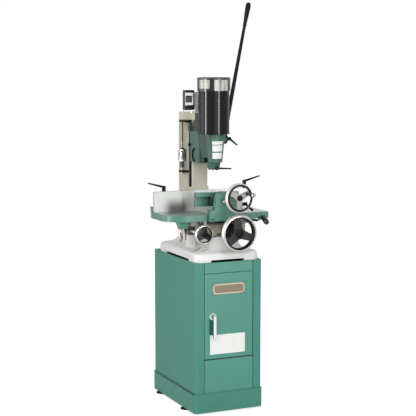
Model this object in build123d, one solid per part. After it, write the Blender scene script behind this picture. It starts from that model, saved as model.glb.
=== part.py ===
from build123d import *
import os
from math import acos, cos, pi, radians, sin, tan

# Floor-standing hollow-chisel mortiser, millimetres. The origin is on the floor at the
# middle of the cabinet, +X to the operator's right, +Y to the rear, +Z up.

# Cabinet stand
CAB_W = 354.0
CAB_D = 530.0
CAB_TOP = 739.0
CAB_CORNER = 14.0
SHEET = 2.0
FRONT_FLANGE = 46.0
REAR_FLANGE = 22.0
FOLD = 14.0
SEAM = 2.6
DOOR_Z0 = 268.5
DOOR_Z1 = 684.5
DOOR_HALF_W = 128.4
DOOR_PIN_X = 122.7
DOOR_PIN_INSET = 5.0
DOOR_PIN_R = 3.0
HANDLE_X = -87.0
HANDLE_Z = 478.0
HANDLE_DROP = 98.0
PLINTH_OUT = 6.0
PLINTH_Z0 = 8.0
PLINTH_TOP = 102.0
PLINTH_LEDGE = 48.0
FOOT_X = 161.0
FOOT_Y = (-133.0, 184.0)
FOOT_R = 25.0
ANCHOR_X = 300.0
ANCHOR_Y = 440.0
ANCHOR_R = 5.5

# Base casting, cross ways and column
BASE_HALF_W = 169.0
BASE_Y0 = -256.0
BASE_Y1 = 244.0
BASE_RIM = 40.0
BASE_FRONT_R = 36.0
BASE_REAR_R = 60.0
BOLT_X = 140.0
BOLT_Y = (-218.0, 200.0)
BOLT_HOLE_R = 5.2
SLOT_X = (-89.0, 84.0)
SLOT_Y = (-166.0, 117.0)
SLOT_H = 10.0
WAY_Z0 = 846.0
WAY_Z1 = 864.0
WAY_X = 28.0
WAY_HALF_LOW = 44.0
WAY_HALF_TOP = 52.0
COL_HALF_W = 49.0
COL_Y0 = 104.0
COL_Y1 = 240.0
COL_WALL = 10.0
COL_FRONT_WALL = 14.0
COL_TOP = 1406.0
CAP_TOP = 1441.0
CAP_Y0 = 36.0
DOVE_Y = 80.0
DOVE_Z0 = 1070.0
DOVE_HALF_FRONT = 43.0
DOVE_HALF_BACK = 29.0
DOVE_LAND = 4.0
STOP_X = -69.0
STOP_Y = 145.0
STOP_R = 6.0

# Saddle, table, fence and vise
SADDLE_X0 = -78.0
SADDLE_X1 = 135.0
SADDLE_Y0 = -140.0
SADDLE_Y1 = 20.0
APRON_Y = -165.0
SLIDE_Z0 = 908.0
TABLE_Z0 = 930.0
TABLE_TOP = 962.0
TABLE_X0 = -284.0
TABLE_X1 = 250.0
TABLE_Y0 = -195.0
TABLE_Y1 = 40.0
TABLE_ROUND = 105.0
SLIDE_Y = -91.0
SLIDE_HALF_TOP = 62.0
SLIDE_HALF_LOW = 52.0
GIB = 6.0
CROSS_X = -107.0
CROSS_Z = 868.0
CROSS_SCREW_R = 7.0
CROSS_WHEEL_Y = -210.0
CROSS_WHEEL_R = 47.5
LONG_X = 21.0
LONG_Z = 882.0
FEED_SHAFT_R = 9.0
LONG_WHEEL_Y = -330.0
LONG_WHEEL_R = 91.0
LOCK_Y = -186.0
LOCK_Z = 922.0
LOCK_ROD_R = 6.0
LOCK_BEND = (181.0, -205.0, 922.0)
LOCK_NECK = (211.0, -206.0, 937.0)
LOCK_TIP = (209.0, -257.0, 912.0)
LUG_X = -203.0
LUG_Y = -146.0
POST_SPIGOT_R = 7.0
FENCE_Y = -22.0
FENCE_T = 20.0
FENCE_X0 = -286.0
FENCE_X1 = 212.0
FENCE_TOP = 1063.0
FENCE_LEVER_X = (-233.0, 203.0)
JAW_X0 = -114.0
JAW_X1 = 112.0
JAW_Y0 = -136.0
JAW_Y1 = -108.0
JAW_Z0 = 993.0
JAW_Z1 = 1061.0
VISE_X = 24.0
VISE_Z = 1050.0
VISE_SCREW_R = 8.0
VISE_WHEEL_Y = -330.0
VISE_WHEEL_R = 69.0
VISE_RIM = 6.0
VISE_RIM_DEPTH = 2.2
VISE_RIM_LEAN = 30.0
VISE_ROD_SPREAD = 44.0
VISE_ROD_Z = 1028.0
VISE_ROD_R = 7.5
VISE_CLAMP_Z = 1006.0
BRACKET_BOLT_X = (-70.0, 104.0)
BRACKET_BOLT_Z = 941.0
HANDLE_RING = 42.0
HANDLE_ANGLE = 27.0
HANDLE_PIN_R = 3.0
BRACKET_Y0 = -228.0

# Head, motor, spindle and feed lever
SPINDLE_Y = -87.0
HEAD_HALF_W = 50.0
HEAD_Z0 = 1197.0
HEAD_Z1 = 1375.0
HEAD_REAR = 92.0
ARM_Z0 = 1393.0
NOSE_Z0 = 1205.0
HOLDER_Z0 = 1168.0
NOSE_R_TOP = 56.0
NOSE_R_LOW = 42.0
MOTOR_Z0 = 1343.0
MOTOR_R = 76.0
COVER_R = 81.0
COVER_Z0 = 1551.0
MOTOR_TOP = 1618.0
SHAFT_R = 12.0
BEARING_R = 24.0
CHUCK_ROOM_R = 33.0
CLAMP_X = 54.5
CLAMP_Y = -108.0
CLAMP_Z = 1318.0
CHISEL_CLAMP_Z = 1177.0
BUSH_BORE_R = 9.55
BUSH_R = 19.0
PINION_Y = 41.0
PINION_Z = 1310.0
PINION_SHAFT_R = 12.5
LEVER_X = 114.0
LEVER_SPLAY = 0.202
LEVER_TIP_Z = 1986.0
SWITCH_X = -88.0
SWITCH_BOX_X = (-109.0, -57.0)
SWITCH_BOX_Z = (1456.0, 1554.0)
SWITCH_Y = 42.0
SWITCH_Z = 1510.0

# Gears: the head rack and the table rack
PRESSURE = radians(20)
BACKLASH = 0.24
HEAD_MODULE = 3.0
HEAD_TEETH = 28
TABLE_MODULE = 1.5
TABLE_TEETH = 20
GEAR_FACE = 22.0

# Handwheels and clamp levers
RIM_DEPTH = 1.45
STUD_R = 5.0

# Fits
PRESS = 0.02
RUN = 0.05
CLEAR = 0.3

parts = {}


def box(x0, x1, y0, y1, z0, z1):
    centre = Pos((x0 + x1) / 2, (y0 + y1) / 2, (z0 + z1) / 2)
    return centre * Box(x1 - x0, y1 - y0, z1 - z0)


def rod_x(x0, x1, y, z, r):
    return Pos((x0 + x1) / 2, y, z) * Rot(0, 90, 0) * Cylinder(r, x1 - x0)


def rod_y(x, y0, y1, z, r):
    return Pos(x, (y0 + y1) / 2, z) * Rot(90, 0, 0) * Cylinder(r, y1 - y0)


def rod_z(x, y, z0, z1, r):
    return Pos(x, y, (z0 + z1) / 2) * Cylinder(r, z1 - z0)


def taper(start, end, r0, r1):
    """A round bar from start to end whose radius runs from r0 to r1."""
    a, b = Vector(*start), Vector(*end)
    plane = Plane(origin=a, z_dir=b - a)
    return plane * (Pos(0, 0, (b - a).length / 2) * Cone(r0, r1, (b - a).length))


def ball(centre, r):
    return Pos(*centre) * Sphere(r)


def turned(plane, *points):
    """A body turned about the plane's normal from (radius, height) points."""
    face = make_face(Polyline(*[(r, 0, h) for r, h in points], close=True))
    return plane * revolve(face, Axis.Z)


def plan(points, z0, z1):
    """A flat outline in X and Y, raised from z0 to z1."""
    face = make_face(Polyline(*points, close=True))
    return Pos(0, 0, z0) * extrude(face, z1 - z0)


def across(points, x0, x1):
    """An outline in Y and Z, carried along X."""
    face = make_face(Polyline(*[(0, y, z) for y, z in points], close=True))
    return Pos(x0, 0, 0) * extrude(face, x1 - x0, dir=(1, 0, 0))


def along(points, y0, y1):
    """An outline in X and Z, carried along Y."""
    face = make_face(Polyline(*[(x, 0, z) for x, z in points], close=True))
    return Pos(0, y0, 0) * extrude(face, y1 - y0, dir=(0, 1, 0))


def hexagon(x, y, z0, z1, r):
    return Pos(x, y, z0) * extrude(RegularPolygon(r, 6), z1 - z0)


def facing_front(x, y, z):
    """A plane whose normal looks at the operator, with its own Y upwards."""
    return Plane(origin=(x, y, z), x_dir=(1, 0, 0), z_dir=(0, -1, 0))


def gear_outline(module, teeth, phase):
    """Involute teeth as points on a circle, the first tooth centred on the phase angle."""
    r_pitch = module * teeth / 2
    r_base = r_pitch * cos(PRESSURE)
    r_root = r_pitch - 1.25 * module
    r_tip = r_pitch + module
    half_pitch = pi / (2 * teeth) - BACKLASH / (2 * r_pitch)

    def half_angle(r):
        angle = acos(min(1.0, r_base / r))
        return half_pitch + tan(PRESSURE) - PRESSURE - tan(angle) + angle

    r_start = max(r_base, r_root)
    flank = [(r_root, half_angle(r_start))]
    flank += [(r, half_angle(r)) for r in (r_start, r_pitch, r_tip)]
    tooth = [(r, -a) for r, a in flank] + [(r, a) for r, a in reversed(flank)]
    points = []
    for i in range(teeth):
        middle = phase + 2 * pi * i / teeth
        points += [(r * cos(middle + a), r * sin(middle + a)) for r, a in tooth]
    return points


def rack_outline(module, first, last, back):
    """Rack teeth as (travel, height) points, with a gap centred on travel 0."""
    pitch = pi * module
    half_tip = pitch / 4 - module * tan(PRESSURE) - BACKLASH / 2
    half_root = pitch / 4 + 1.25 * module * tan(PRESSURE) - BACKLASH / 2
    points = [(first * pitch, back), (first * pitch, -1.25 * module)]
    for i in range(first, last):
        middle = (i + 0.5) * pitch
        points.append((middle - half_root, -1.25 * module))
        points.append((middle - half_tip, module))
        points.append((middle + half_tip, module))
        points.append((middle + half_root, -1.25 * module))
    points += [(last * pitch, -1.25 * module), (last * pitch, back)]
    return points


def hand_wheel(plane, radius, rim, hub, shaft_r, spoke_w, first_spoke, depth=RIM_DEPTH, lean=0):
    """A wheel with a deep oval rim, three tapered spokes and a hub closed at the front.

    The hub is its (radius, reach to the rear). A rim that leans is narrower at the front.
    """
    hub_r, hub_back = hub
    ring = radius - rim
    section = Plane.XZ * Pos(ring, 0) * Rot(0, 0, lean) * Ellipse(rim, depth * rim)
    wheel = revolve(section, Axis.Z)
    hub_front = 0.55 * rim
    spoke_t = 0.9 * rim
    for i in range(3):
        inner, outer = 0.75 * spoke_w, 0.5 * spoke_w
        spoke = make_face(Polyline((0, -inner), (ring, -outer), (ring, outer), (0, inner), close=True))
        blade = Pos(0, 0, -spoke_t / 2) * extrude(spoke, spoke_t)
        wheel += Rot(0, 0, first_spoke + 120 * i) * blade
    wheel += Pos(0, 0, (hub_front - hub_back) / 2) * Cylinder(hub_r, hub_front + hub_back)
    bore_end = hub_front - 4
    wheel -= Pos(0, 0, bore_end - hub_back) * Cylinder(shaft_r + PRESS, 2 * hub_back)
    return plane * wheel


def clamp_lever(plane, hub_r, hub_h, stud_r, stud_l, arm, rise):
    """A ratchet clamp lever: stud, stepped hub and a slim rising arm along the plane's X."""
    lever = Pos(0, 0, -stud_l / 2) * Cylinder(stud_r, stud_l)
    lever += Pos(0, 0, hub_h / 2) * Cylinder(hub_r, hub_h)
    top = (0, 0, hub_h - 0.6 * hub_r)
    tip = (arm, 0, hub_h - 0.6 * hub_r + rise)
    lever += taper(top, tip, 0.62 * hub_r, 0.36 * hub_r)
    lever += ball(tip, 0.42 * hub_r)
    return plane * lever


# Cabinet stand


def cabinet_tube(inset, z0, z1):
    outer = RectangleRounded(CAB_W - 2 * inset, CAB_D - 2 * inset, CAB_CORNER - inset)
    return Pos(0, 0, z0) * extrude(outer, z1 - z0)


def side_panel(side):
    """A side wall with rounded corners, front and rear flanges and folded edges."""
    half_w, half_d = CAB_W / 2, CAB_D / 2
    z0 = PLINTH_Z0 + 2.5
    shell = cabinet_tube(0, z0, CAB_TOP) - cabinet_tube(SHEET, z0, CAB_TOP)
    keep = box(half_w - FRONT_FLANGE, half_w + 1, -half_d - 1, 0, z0, CAB_TOP)
    keep += box(half_w - REAR_FLANGE, half_w + 1, 0, half_d + 1, z0, CAB_TOP)
    panel = shell & keep
    edge = half_w - FRONT_FLANGE
    panel += box(edge, edge + SHEET, -half_d, -half_d + FOLD, z0, CAB_TOP)
    lip = cabinet_tube(1, CAB_TOP - 3, CAB_TOP) & box(edge, half_w, -half_d, half_d, z0, CAB_TOP)
    for y in BOLT_Y:
        lip -= rod_z(BOLT_X, y, CAB_TOP - 5, CAB_TOP + 1, BOLT_HOLE_R)
    panel += lip
    return panel if side > 0 else mirror(panel, Plane.YZ)


def back_panel():
    """The rear sheet, its top edge folded forwards under the base casting."""
    y1 = CAB_D / 2 - SHEET
    z1 = CAB_TOP - 4
    half = CAB_W / 2 - CAB_CORNER - 1
    sheet = box(-half, half, y1 - SHEET, y1, PLINTH_Z0 + 2.6, z1)
    return sheet + box(-half, half, y1 - 48, y1, z1 - SHEET, z1)


def folded_pan(x0, x1, z0, z1):
    """A front panel with its four edges folded back."""
    y = -CAB_D / 2
    pan = box(x0, x1, y, y + FOLD, z0, z1)
    return pan - box(x0 + SHEET, x1 - SHEET, y + SHEET, y + FOLD + 1, z0 + SHEET, z1 - SHEET)


def front_panels():
    """The fixed panels above and below the door, with the door's pivot pins welded on."""
    half = CAB_W / 2 - FRONT_FLANGE - SEAM
    y = -CAB_D / 2 + DOOR_PIN_INSET
    upper_z, lower_z = DOOR_Z1 + SEAM, DOOR_Z0 - SEAM
    upper = folded_pan(-half, half, upper_z, CAB_TOP - 0.5)
    upper += rod_z(DOOR_PIN_X, y, DOOR_Z1 - 12, upper_z + 1, DOOR_PIN_R)
    upper += rod_z(DOOR_PIN_X, y, DOOR_Z1 + CLEAR, upper_z + 1, 4.8)
    lower = folded_pan(-half, half, PLINTH_TOP - 40, lower_z)
    lower += rod_z(DOOR_PIN_X, y, lower_z - 1, DOOR_Z0 + 12, DOOR_PIN_R)
    lower += rod_z(DOOR_PIN_X, y, lower_z - 1, DOOR_Z0 - CLEAR, 4.8)
    for x in (-half - SEAM, half):
        tab = box(x, x + SEAM, -CAB_D / 2 + 6, -CAB_D / 2 + FOLD, 0, 16)
        upper += Pos(0, 0, upper_z + 18) * tab
        lower += Pos(0, 0, lower_z - 40) * tab + Pos(0, 0, PLINTH_TOP + 20) * tab
    return Compound([upper, lower])


def cabinet_door():
    """An inset door, open at the back, that turns on pins in its top and bottom folds."""
    door = folded_pan(-DOOR_HALF_W, DOOR_HALF_W - 0.6, DOOR_Z0, DOOR_Z1)
    y = -CAB_D / 2 + DOOR_PIN_INSET
    block = box(DOOR_PIN_X - 4.5, DOOR_HALF_W - 1, -CAB_D / 2 + 1, y + 5, DOOR_Z0, DOOR_Z0 + 14)
    door += block + Pos(0, 0, DOOR_Z1 - DOOR_Z0 - 14) * block
    door -= rod_z(DOOR_PIN_X, y, DOOR_Z0 - 1, DOOR_Z1 + 1, DOOR_PIN_R + RUN)
    door -= rod_y(HANDLE_X, -CAB_D / 2 - 1, -CAB_D / 2 + 4, HANDLE_Z, 7 + CLEAR)
    return door


def door_handle():
    """A hanging lever handle on a round boss, with its spindle and inner nut."""
    y = -CAB_D / 2
    front = facing_front(HANDLE_X, y, HANDLE_Z)
    handle = turned(front, (0, CLEAR), (17, CLEAR), (17, 5), (11, 9), (9, 24), (0, 24))
    grip = RectangleRounded(15, HANDLE_DROP + 14, 6)
    bar = Pos(0, -HANDLE_DROP / 2 + 1, 22) * extrude(grip, 13)
    handle += front * chamfer(bar.edges().group_by(Axis.Z)[-1], 2.5)
    handle += rod_y(HANDLE_X, y - 1, y + 14, HANDLE_Z, 7)
    handle += rod_y(HANDLE_X, y + SHEET + CLEAR, y + 9, HANDLE_Z, 13)
    return handle


def plinth():
    """A folded skirt with a top ledge round the cabinet and a floor ledge for the feet."""
    w, d, r = CAB_W + 2 * PLINTH_OUT, CAB_D + 2 * PLINTH_OUT, CAB_CORNER + 6
    wall, ledge = 2.5, PLINTH_LEDGE

    def ring(inset, z0, z1):
        hole = RectangleRounded(w - 2 * inset, d - 2 * inset, max(r - inset, 6))
        return Pos(0, 0, z0) * extrude(RectangleRounded(w, d, r) - hole, z1 - z0)

    skirt = ring(wall, PLINTH_Z0, PLINTH_TOP)
    cabinet_hole = RectangleRounded(CAB_W + 0.6, CAB_D + 0.6, CAB_CORNER + 0.3)
    top = extrude(RectangleRounded(w, d, r) - cabinet_hole, wall)
    skirt += Pos(0, 0, PLINTH_TOP - wall) * top
    skirt += ring(ledge, PLINTH_Z0, PLINTH_Z0 + wall)
    for x in (-FOOT_X, FOOT_X):
        for y in FOOT_Y:
            skirt -= rod_z(x, y, 0, 20, 4.6)
    for x in (-ANCHOR_X / 2, ANCHOR_X / 2):
        for y in (-ANCHOR_Y / 2, ANCHOR_Y / 2):
            skirt -= rod_z(x, y, 0, 20, ANCHOR_R)
    return skirt


def floor_feet():
    feet = []
    for x in (-FOOT_X, FOOT_X):
        for y in FOOT_Y:
            profile = [(0, 0), (FOOT_R, 0), (FOOT_R, 3), (FOOT_R - 4, PLINTH_Z0)]
            profile += [(4.5, PLINTH_Z0), (4.5, 26), (0, 26)]
            feet.append(turned(Plane(origin=(x, y, 0)), *profile))
    return Compound(feet)


# Base casting and column


def rounded_plan(x0, x1, y0, y1, front_r, rear_r):
    """A flat rectangle whose front corners and rear corners have their own radii."""
    flat = make_face(Polyline((x0, y0), (x1, y0), (x1, y1), (x0, y1), close=True))
    corners = flat.vertices().group_by(Axis.Y)
    flat = fillet(corners[0], front_r)
    return fillet([v for v in flat.vertices() if v.Y > y1 - 0.1], rear_r)


def way_outline(gap):
    """The cross dovetail's section in X and Z, with a gap added on each flank."""
    low, top = WAY_HALF_LOW + gap, WAY_HALF_TOP + gap
    foot = [(WAY_X - low, WAY_Z0), (WAY_X + low, WAY_Z0)]
    return foot + [(WAY_X + top, WAY_Z1), (WAY_X - top, WAY_Z1)]


def base_casting():
    """The pedestal: a slotted plate, a concave flared foot and the cross dovetail on top."""
    rim_top = CAB_TOP + BASE_RIM
    rim_plan = rounded_plan(-BASE_HALF_W, BASE_HALF_W, BASE_Y0, BASE_Y1, BASE_FRONT_R, BASE_REAR_R)
    rim = Pos(0, 0, CAB_TOP) * extrude(rim_plan, BASE_RIM)
    rim = chamfer(rim.edges().group_by(Axis.Z)[-1], 7)
    levels = (
        (rim_top - 1, -158, 158, -244, 236, 40),
        (rim_top + 7, -112, 124, -218, 232, 44),
        (rim_top + 22, -72, 106, -196, 232, 34),
        (rim_top + 40, -60, 98, -182, 234, 26),
        (WAY_Z0, -52, 92, -172, 238, 16),
    )
    rings = []
    for z, x0, x1, y0, y1, r in levels:
        centre = Pos((x0 + x1) / 2, (y0 + y1) / 2, z)
        rings.append(centre * RectangleRounded(x1 - x0, y1 - y0, r))
    casting = rim + loft(rings)
    nut_top = CROSS_Z + 16
    foot_z = rim_top - 6
    nut_boss = [(CROSS_X - 17, nut_top), (CROSS_X + 17, nut_top), (-84, 840), (-84, foot_z), (-118, foot_z)]
    casting += along(nut_boss, -54, -10)
    wall = 12
    hollow_half = BASE_HALF_W - wall
    casting -= box(-hollow_half, hollow_half, BOLT_Y[0] + 18, BOLT_Y[1] - 18, CAB_TOP - 1, rim_top - wall)
    casting -= box(-40, 80, -150, 205, CAB_TOP, WAY_Z0 - 18)
    casting += along(way_outline(0), -158, 72)
    casting -= box(*SLOT_X, BASE_Y0 - 1, BASE_Y1 + 1, CAB_TOP - 1, CAB_TOP + SLOT_H)
    casting -= box(-BASE_HALF_W - 1, BASE_HALF_W + 1, *SLOT_Y, CAB_TOP - 1, CAB_TOP + SLOT_H)
    casting -= rod_y(CROSS_X, -60, 0, CROSS_Z, CROSS_SCREW_R + CLEAR)
    for x in (-BOLT_X, BOLT_X):
        for y in BOLT_Y:
            casting -= rod_z(x, y, CAB_TOP - 1, rim_top + 1, BOLT_HOLE_R)
            casting -= rod_z(x, y, rim_top - 6, rim_top + 40, 11)
    return casting


def hold_down_bolts():
    bolts = []
    head_z = CAB_TOP + BASE_RIM - 6
    for x in (-BOLT_X, BOLT_X):
        for y in BOLT_Y:
            bolt = hexagon(x, y, head_z, head_z + 7, 9)
            bolt += rod_z(x, y, CAB_TOP - 14, head_z + 1, 5)
            bolt += hexagon(x, y, CAB_TOP - 11, CAB_TOP - 3, 9)
            bolts.append(bolt)
    return Compound(bolts)


def column():
    """A hollow box column with a dovetail down its front and a bolted foot."""
    body = box(-COL_HALF_W, COL_HALF_W, COL_Y0, COL_Y1, WAY_Z0, COL_TOP)
    body = fillet(body.edges().filter_by(Axis.Z), 6)
    half = COL_HALF_W - COL_WALL
    hollow = box(-half, half, COL_Y0 + COL_FRONT_WALL, COL_Y1 - COL_WALL, WAY_Z0 - 1, COL_TOP + 1)
    body -= hollow
    foot = box(-52, 86, 88, COL_Y1 - 4, WAY_Z0, WAY_Z0 + 16) - hollow
    front = box(-COL_HALF_W, COL_HALF_W, DOVE_Y, COL_Y0 + 7, WAY_Z0 + 30, DOVE_Z0)
    front = fillet(front.edges().filter_by(Axis.Z).group_by(Axis.Y)[0], 4)
    right = [(DOVE_HALF_BACK, COL_Y0 + 1), (DOVE_HALF_FRONT, DOVE_Y + DOVE_LAND)]
    right += [(DOVE_HALF_FRONT - DOVE_LAND, DOVE_Y)]
    left = [(-x, y) for x, y in reversed(right)]
    dove = plan(right + left, DOVE_Z0, COL_TOP)
    slot = box(-13, 13, DOVE_Y - 1, DOVE_Y + 16, HEAD_Z0 - 2, PINION_Z + 40)
    return body + foot + front + dove - slot


def column_cap():
    """The column's cap with the upright plate that carries the switch."""
    cap = box(-COL_HALF_W, COL_HALF_W, CAP_Y0, COL_Y1, COL_TOP, CAP_TOP)
    cap = fillet(cap.edges().filter_by(Axis.Z), 6)
    cap = chamfer(cap.edges().group_by(Axis.Z)[-1], 3)
    upright = box(-96, -14, SWITCH_Y, SWITCH_Y + 4, CAP_TOP - 1, 1545)
    upright -= box(-97, -44, SWITCH_Y - 1, SWITCH_Y + 5, CAP_TOP - 2, 1462)
    upright = fillet(upright.edges().filter_by(Axis.Y).group_by(Axis.Z)[-1], 8)
    return cap + upright + box(-43, -14, SWITCH_Y, SWITCH_Y + 34, CAP_TOP - 1, CAP_TOP + 4)


def column_rack():
    """The head's rack, let into the column's dovetail with its teeth towards the head."""
    pitch_y = PINION_Y + HEAD_MODULE * HEAD_TEETH / 2
    points = rack_outline(HEAD_MODULE, -12, 4, -(DOVE_Y + 16 - pitch_y))
    return across([(pitch_y - h, PINION_Z + s) for s, h in points], -11, 11)


def depth_rod():
    return rod_z(STOP_X, STOP_Y, 1132, 1405, STOP_R)


def depth_rod_bracket():
    """The fixed black ledge on the column's left face that carries the depth rod."""
    ledge = box(-82, -COL_HALF_W, 106, 166, 1140, 1150)
    ledge = fillet(ledge.edges().filter_by(Axis.Z).group_by(Axis.X)[0], 8)
    return ledge - rod_z(STOP_X, STOP_Y, 1130, 1160, STOP_R + PRESS)


def depth_collar():
    """The round-topped stop collar, with a window on the rod, and its lock nut."""
    collar = rod_z(STOP_X, STOP_Y, 1197, 1259, 16)
    collar = fillet(collar.edges().group_by(Axis.Z)[-1], 9)
    window = Pos(STOP_X, STOP_Y, 1226) * Rot(0, 0, -23) * Pos(0, -10, 0) * Box(12, 20, 46)
    collar -= window
    bore = rod_z(STOP_X, STOP_Y, 1150, 1270, STOP_R + RUN)
    nut = hexagon(STOP_X, STOP_Y, 1164, 1195, 12)
    return Compound([collar - bore, nut - bore])


# Saddle and cross feed


def slide_flank(y_side, offset):
    """Inner and outer Y of the dovetail flank at its top and foot, on one side."""
    top = SLIDE_Y + y_side * (SLIDE_HALF_TOP + offset)
    low = SLIDE_Y + y_side * (SLIDE_HALF_LOW + offset)
    return top, low


def saddle():
    """The cross slide: dovetail ways below along Y and above along X, with a front apron."""
    body = box(SADDLE_X0, SADDLE_X1, SADDLE_Y0, SADDLE_Y1, WAY_Z1, SLIDE_Z0 - 2)
    body += box(-122, SADDLE_X1, APRON_Y, SADDLE_Y0, 850, SLIDE_Z0 - 2)
    body += box(SADDLE_X0, WAY_X - 46, SADDLE_Y0, SADDLE_Y1, WAY_Z0 + 2, WAY_Z1)
    body += box(WAY_X + 46, SADDLE_X1, SADDLE_Y0, SADDLE_Y1, WAY_Z0 + 2, WAY_Z1)
    body -= along(way_outline(CLEAR), APRON_Y - 1, SADDLE_Y1 + 1)
    front_top, front_low = slide_flank(-1, 0)
    rear_top, rear_low = slide_flank(1, 0)
    rail = [(front_low, SLIDE_Z0 - 3), (rear_low, SLIDE_Z0 - 3), (rear_low, SLIDE_Z0)]
    rail += [(rear_top, TABLE_Z0 - 0.1), (front_top, TABLE_Z0 - 0.1), (front_low, SLIDE_Z0)]
    body += across(rail, SADDLE_X0, SADDLE_X1)
    body -= box(SADDLE_X0 - 1, SADDLE_X1 + 1, -106, -78, SLIDE_Z0 - 14, TABLE_Z0)
    tip_r = TABLE_MODULE * (TABLE_TEETH / 2 + 1)
    body -= rod_y(LONG_X, -106, -78, LONG_Z, tip_r + 2)
    body -= rod_y(LONG_X, APRON_Y - 1, -60, LONG_Z, FEED_SHAFT_R + RUN)
    body -= rod_y(CROSS_X, APRON_Y - 1, SADDLE_Y0 + 1, CROSS_Z, CROSS_SCREW_R + RUN)
    for x in (-92, 92):
        lug = box(x - 8, x + 8, -194, APRON_Y, 886, SLIDE_Z0 - 4)
        lug += box(x - 8, x + 8, -194, -178, 886, LOCK_Z + 7.5)
        body += lug - rod_x(x - 9, x + 9, LOCK_Y, LOCK_Z, LOCK_ROD_R + RUN)
    return body


def feed_housing():
    """The black bearing housing that stands out from the apron round the feed shaft."""
    plane = facing_front(LONG_X, APRON_Y, LONG_Z)
    bore = FEED_SHAFT_R + RUN
    outline = ((bore, 0), (17, 0), (17, 42), (38, 46), (38, 84), (27, 112), (bore, 112))
    return turned(plane, *outline)


def cross_feed_screw():
    screw = rod_y(CROSS_X, CROSS_WHEEL_Y + 1, 46, CROSS_Z, CROSS_SCREW_R)
    return screw + rod_y(CROSS_X, SADDLE_Y0 + 0.4, SADDLE_Y0 + 8, CROSS_Z, 12)


def feed_shaft():
    """The wheel's shaft with its pinion cut in the solid, under the table rack."""
    shaft = rod_y(LONG_X, LONG_WHEEL_Y, -62, LONG_Z, FEED_SHAFT_R)
    teeth = make_face(Polyline(*gear_outline(TABLE_MODULE, TABLE_TEETH, pi / 2), close=True))
    pinion = facing_front(LONG_X, -81, LONG_Z) * extrude(teeth, GEAR_FACE)
    return shaft + pinion


# Table, fence and vise


def table():
    """The green table: a rounded slab with dovetail rails and two long pockets below."""
    r = TABLE_ROUND
    outline = [
        Line((TABLE_X1, TABLE_Y0), (TABLE_X1, TABLE_Y1)),
        Line((TABLE_X1, TABLE_Y1), (TABLE_X0, TABLE_Y1)),
        Line((TABLE_X0, TABLE_Y1), (TABLE_X0, TABLE_Y0 + r)),
        RadiusArc((TABLE_X0, TABLE_Y0 + r), (TABLE_X0 + r, TABLE_Y0), -r),
        Line((TABLE_X0 + r, TABLE_Y0), (TABLE_X1, TABLE_Y0)),
    ]
    slab = Pos(0, 0, TABLE_Z0) * extrude(make_face(outline), TABLE_TOP - TABLE_Z0)
    corners = [e for e in slab.edges().filter_by(Axis.Z) if e.center().X > 200 or e.center().Y > 30]
    slab = fillet(corners, 10)
    slab = fillet(slab.edges().group_by(Axis.Z)[-1], 3)
    slab -= box(-255, 225, -136, -106, TABLE_Z0 - 1, TABLE_TOP - 12)
    slab -= box(-255, 225, -76, -46, TABLE_Z0 - 1, TABLE_TOP - 12)
    front_top, front_low = slide_flank(-1, CLEAR)
    rear_top, rear_low = slide_flank(1, GIB + CLEAR)
    front = [(-176, SLIDE_Z0), (front_low, SLIDE_Z0), (front_top, TABLE_Z0), (-176, TABLE_Z0)]
    rear = [(rear_low, SLIDE_Z0), (2, SLIDE_Z0), (2, TABLE_Z0), (rear_top, TABLE_Z0)]
    slab += across(front, -160, 170)
    slab += across(rear, -160, 170)
    foot = Pos(LUG_X + 12, LUG_Y, 894) * RectangleRounded(40, 34, 8)
    root = Pos(LUG_X + 12, LUG_Y, TABLE_Z0) * RectangleRounded(62, 56, 10)
    lug = loft([foot, root])
    lug -= rod_z(LUG_X, LUG_Y, 880, 912, POST_SPIGOT_R + PRESS)
    lug -= rod_z(LUG_X + 27, LUG_Y - 4, 880, 920, 4 + CLEAR)
    return slab + lug


def table_gib():
    """The adjusting strip between the saddle's rear flank and the table's rail."""
    near_top, near_low = slide_flank(1, CLEAR)
    far_top, far_low = slide_flank(1, GIB)
    points = [(near_low, SLIDE_Z0), (far_low, SLIDE_Z0), (far_top, TABLE_Z0), (near_top, TABLE_Z0)]
    return across(points, -158, 168)


def table_rack():
    pitch_z = LONG_Z + TABLE_MODULE * TABLE_TEETH / 2
    points = rack_outline(TABLE_MODULE, -15, 25, -(TABLE_Z0 - pitch_z))
    return along([(LONG_X + s, pitch_z - h) for s, h in points], -102, -82)


def table_stop_post():
    """The polished post that hangs from the lug under the table's left end."""
    post = rod_z(LUG_X, LUG_Y, 854, 894, 9.5) + rod_z(LUG_X, LUG_Y, 893, 911, POST_SPIGOT_R)
    post = chamfer(post.edges().group_by(Axis.Z)[0], 2)
    return post - rod_y(LUG_X, LUG_Y - 12, LUG_Y - 2, 868, 3 + CLEAR)


def stop_lock_lever():
    """The bent bronze thumb lever on the stop post."""
    y = LUG_Y - 15.5
    elbow = (LUG_X + 3, y, 852)
    lever = rod_y(LUG_X, y - 5, LUG_Y - 4, 868, 3)
    lever += rod_y(LUG_X, y - 5.5, y + 4.5, 868, 6)
    lever += taper((LUG_X, y, 868), elbow, 4, 4.5)
    lever += taper(elbow, (LUG_X - 8, y, 832), 4.5, 3.5)
    return lever + ball(elbow, 4.6)


def table_lock_screw():
    """The hanging clamp screw with a cone head and a slim tail."""
    plane = Plane(origin=(LUG_X + 27, LUG_Y - 4, 0))
    profile = ((0, 838), (2.6, 838), (3.2, 873), (9.5, 886), (9.5, 890), (4, 892.5), (4, 918), (0, 918))
    return turned(plane, *profile)


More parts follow.
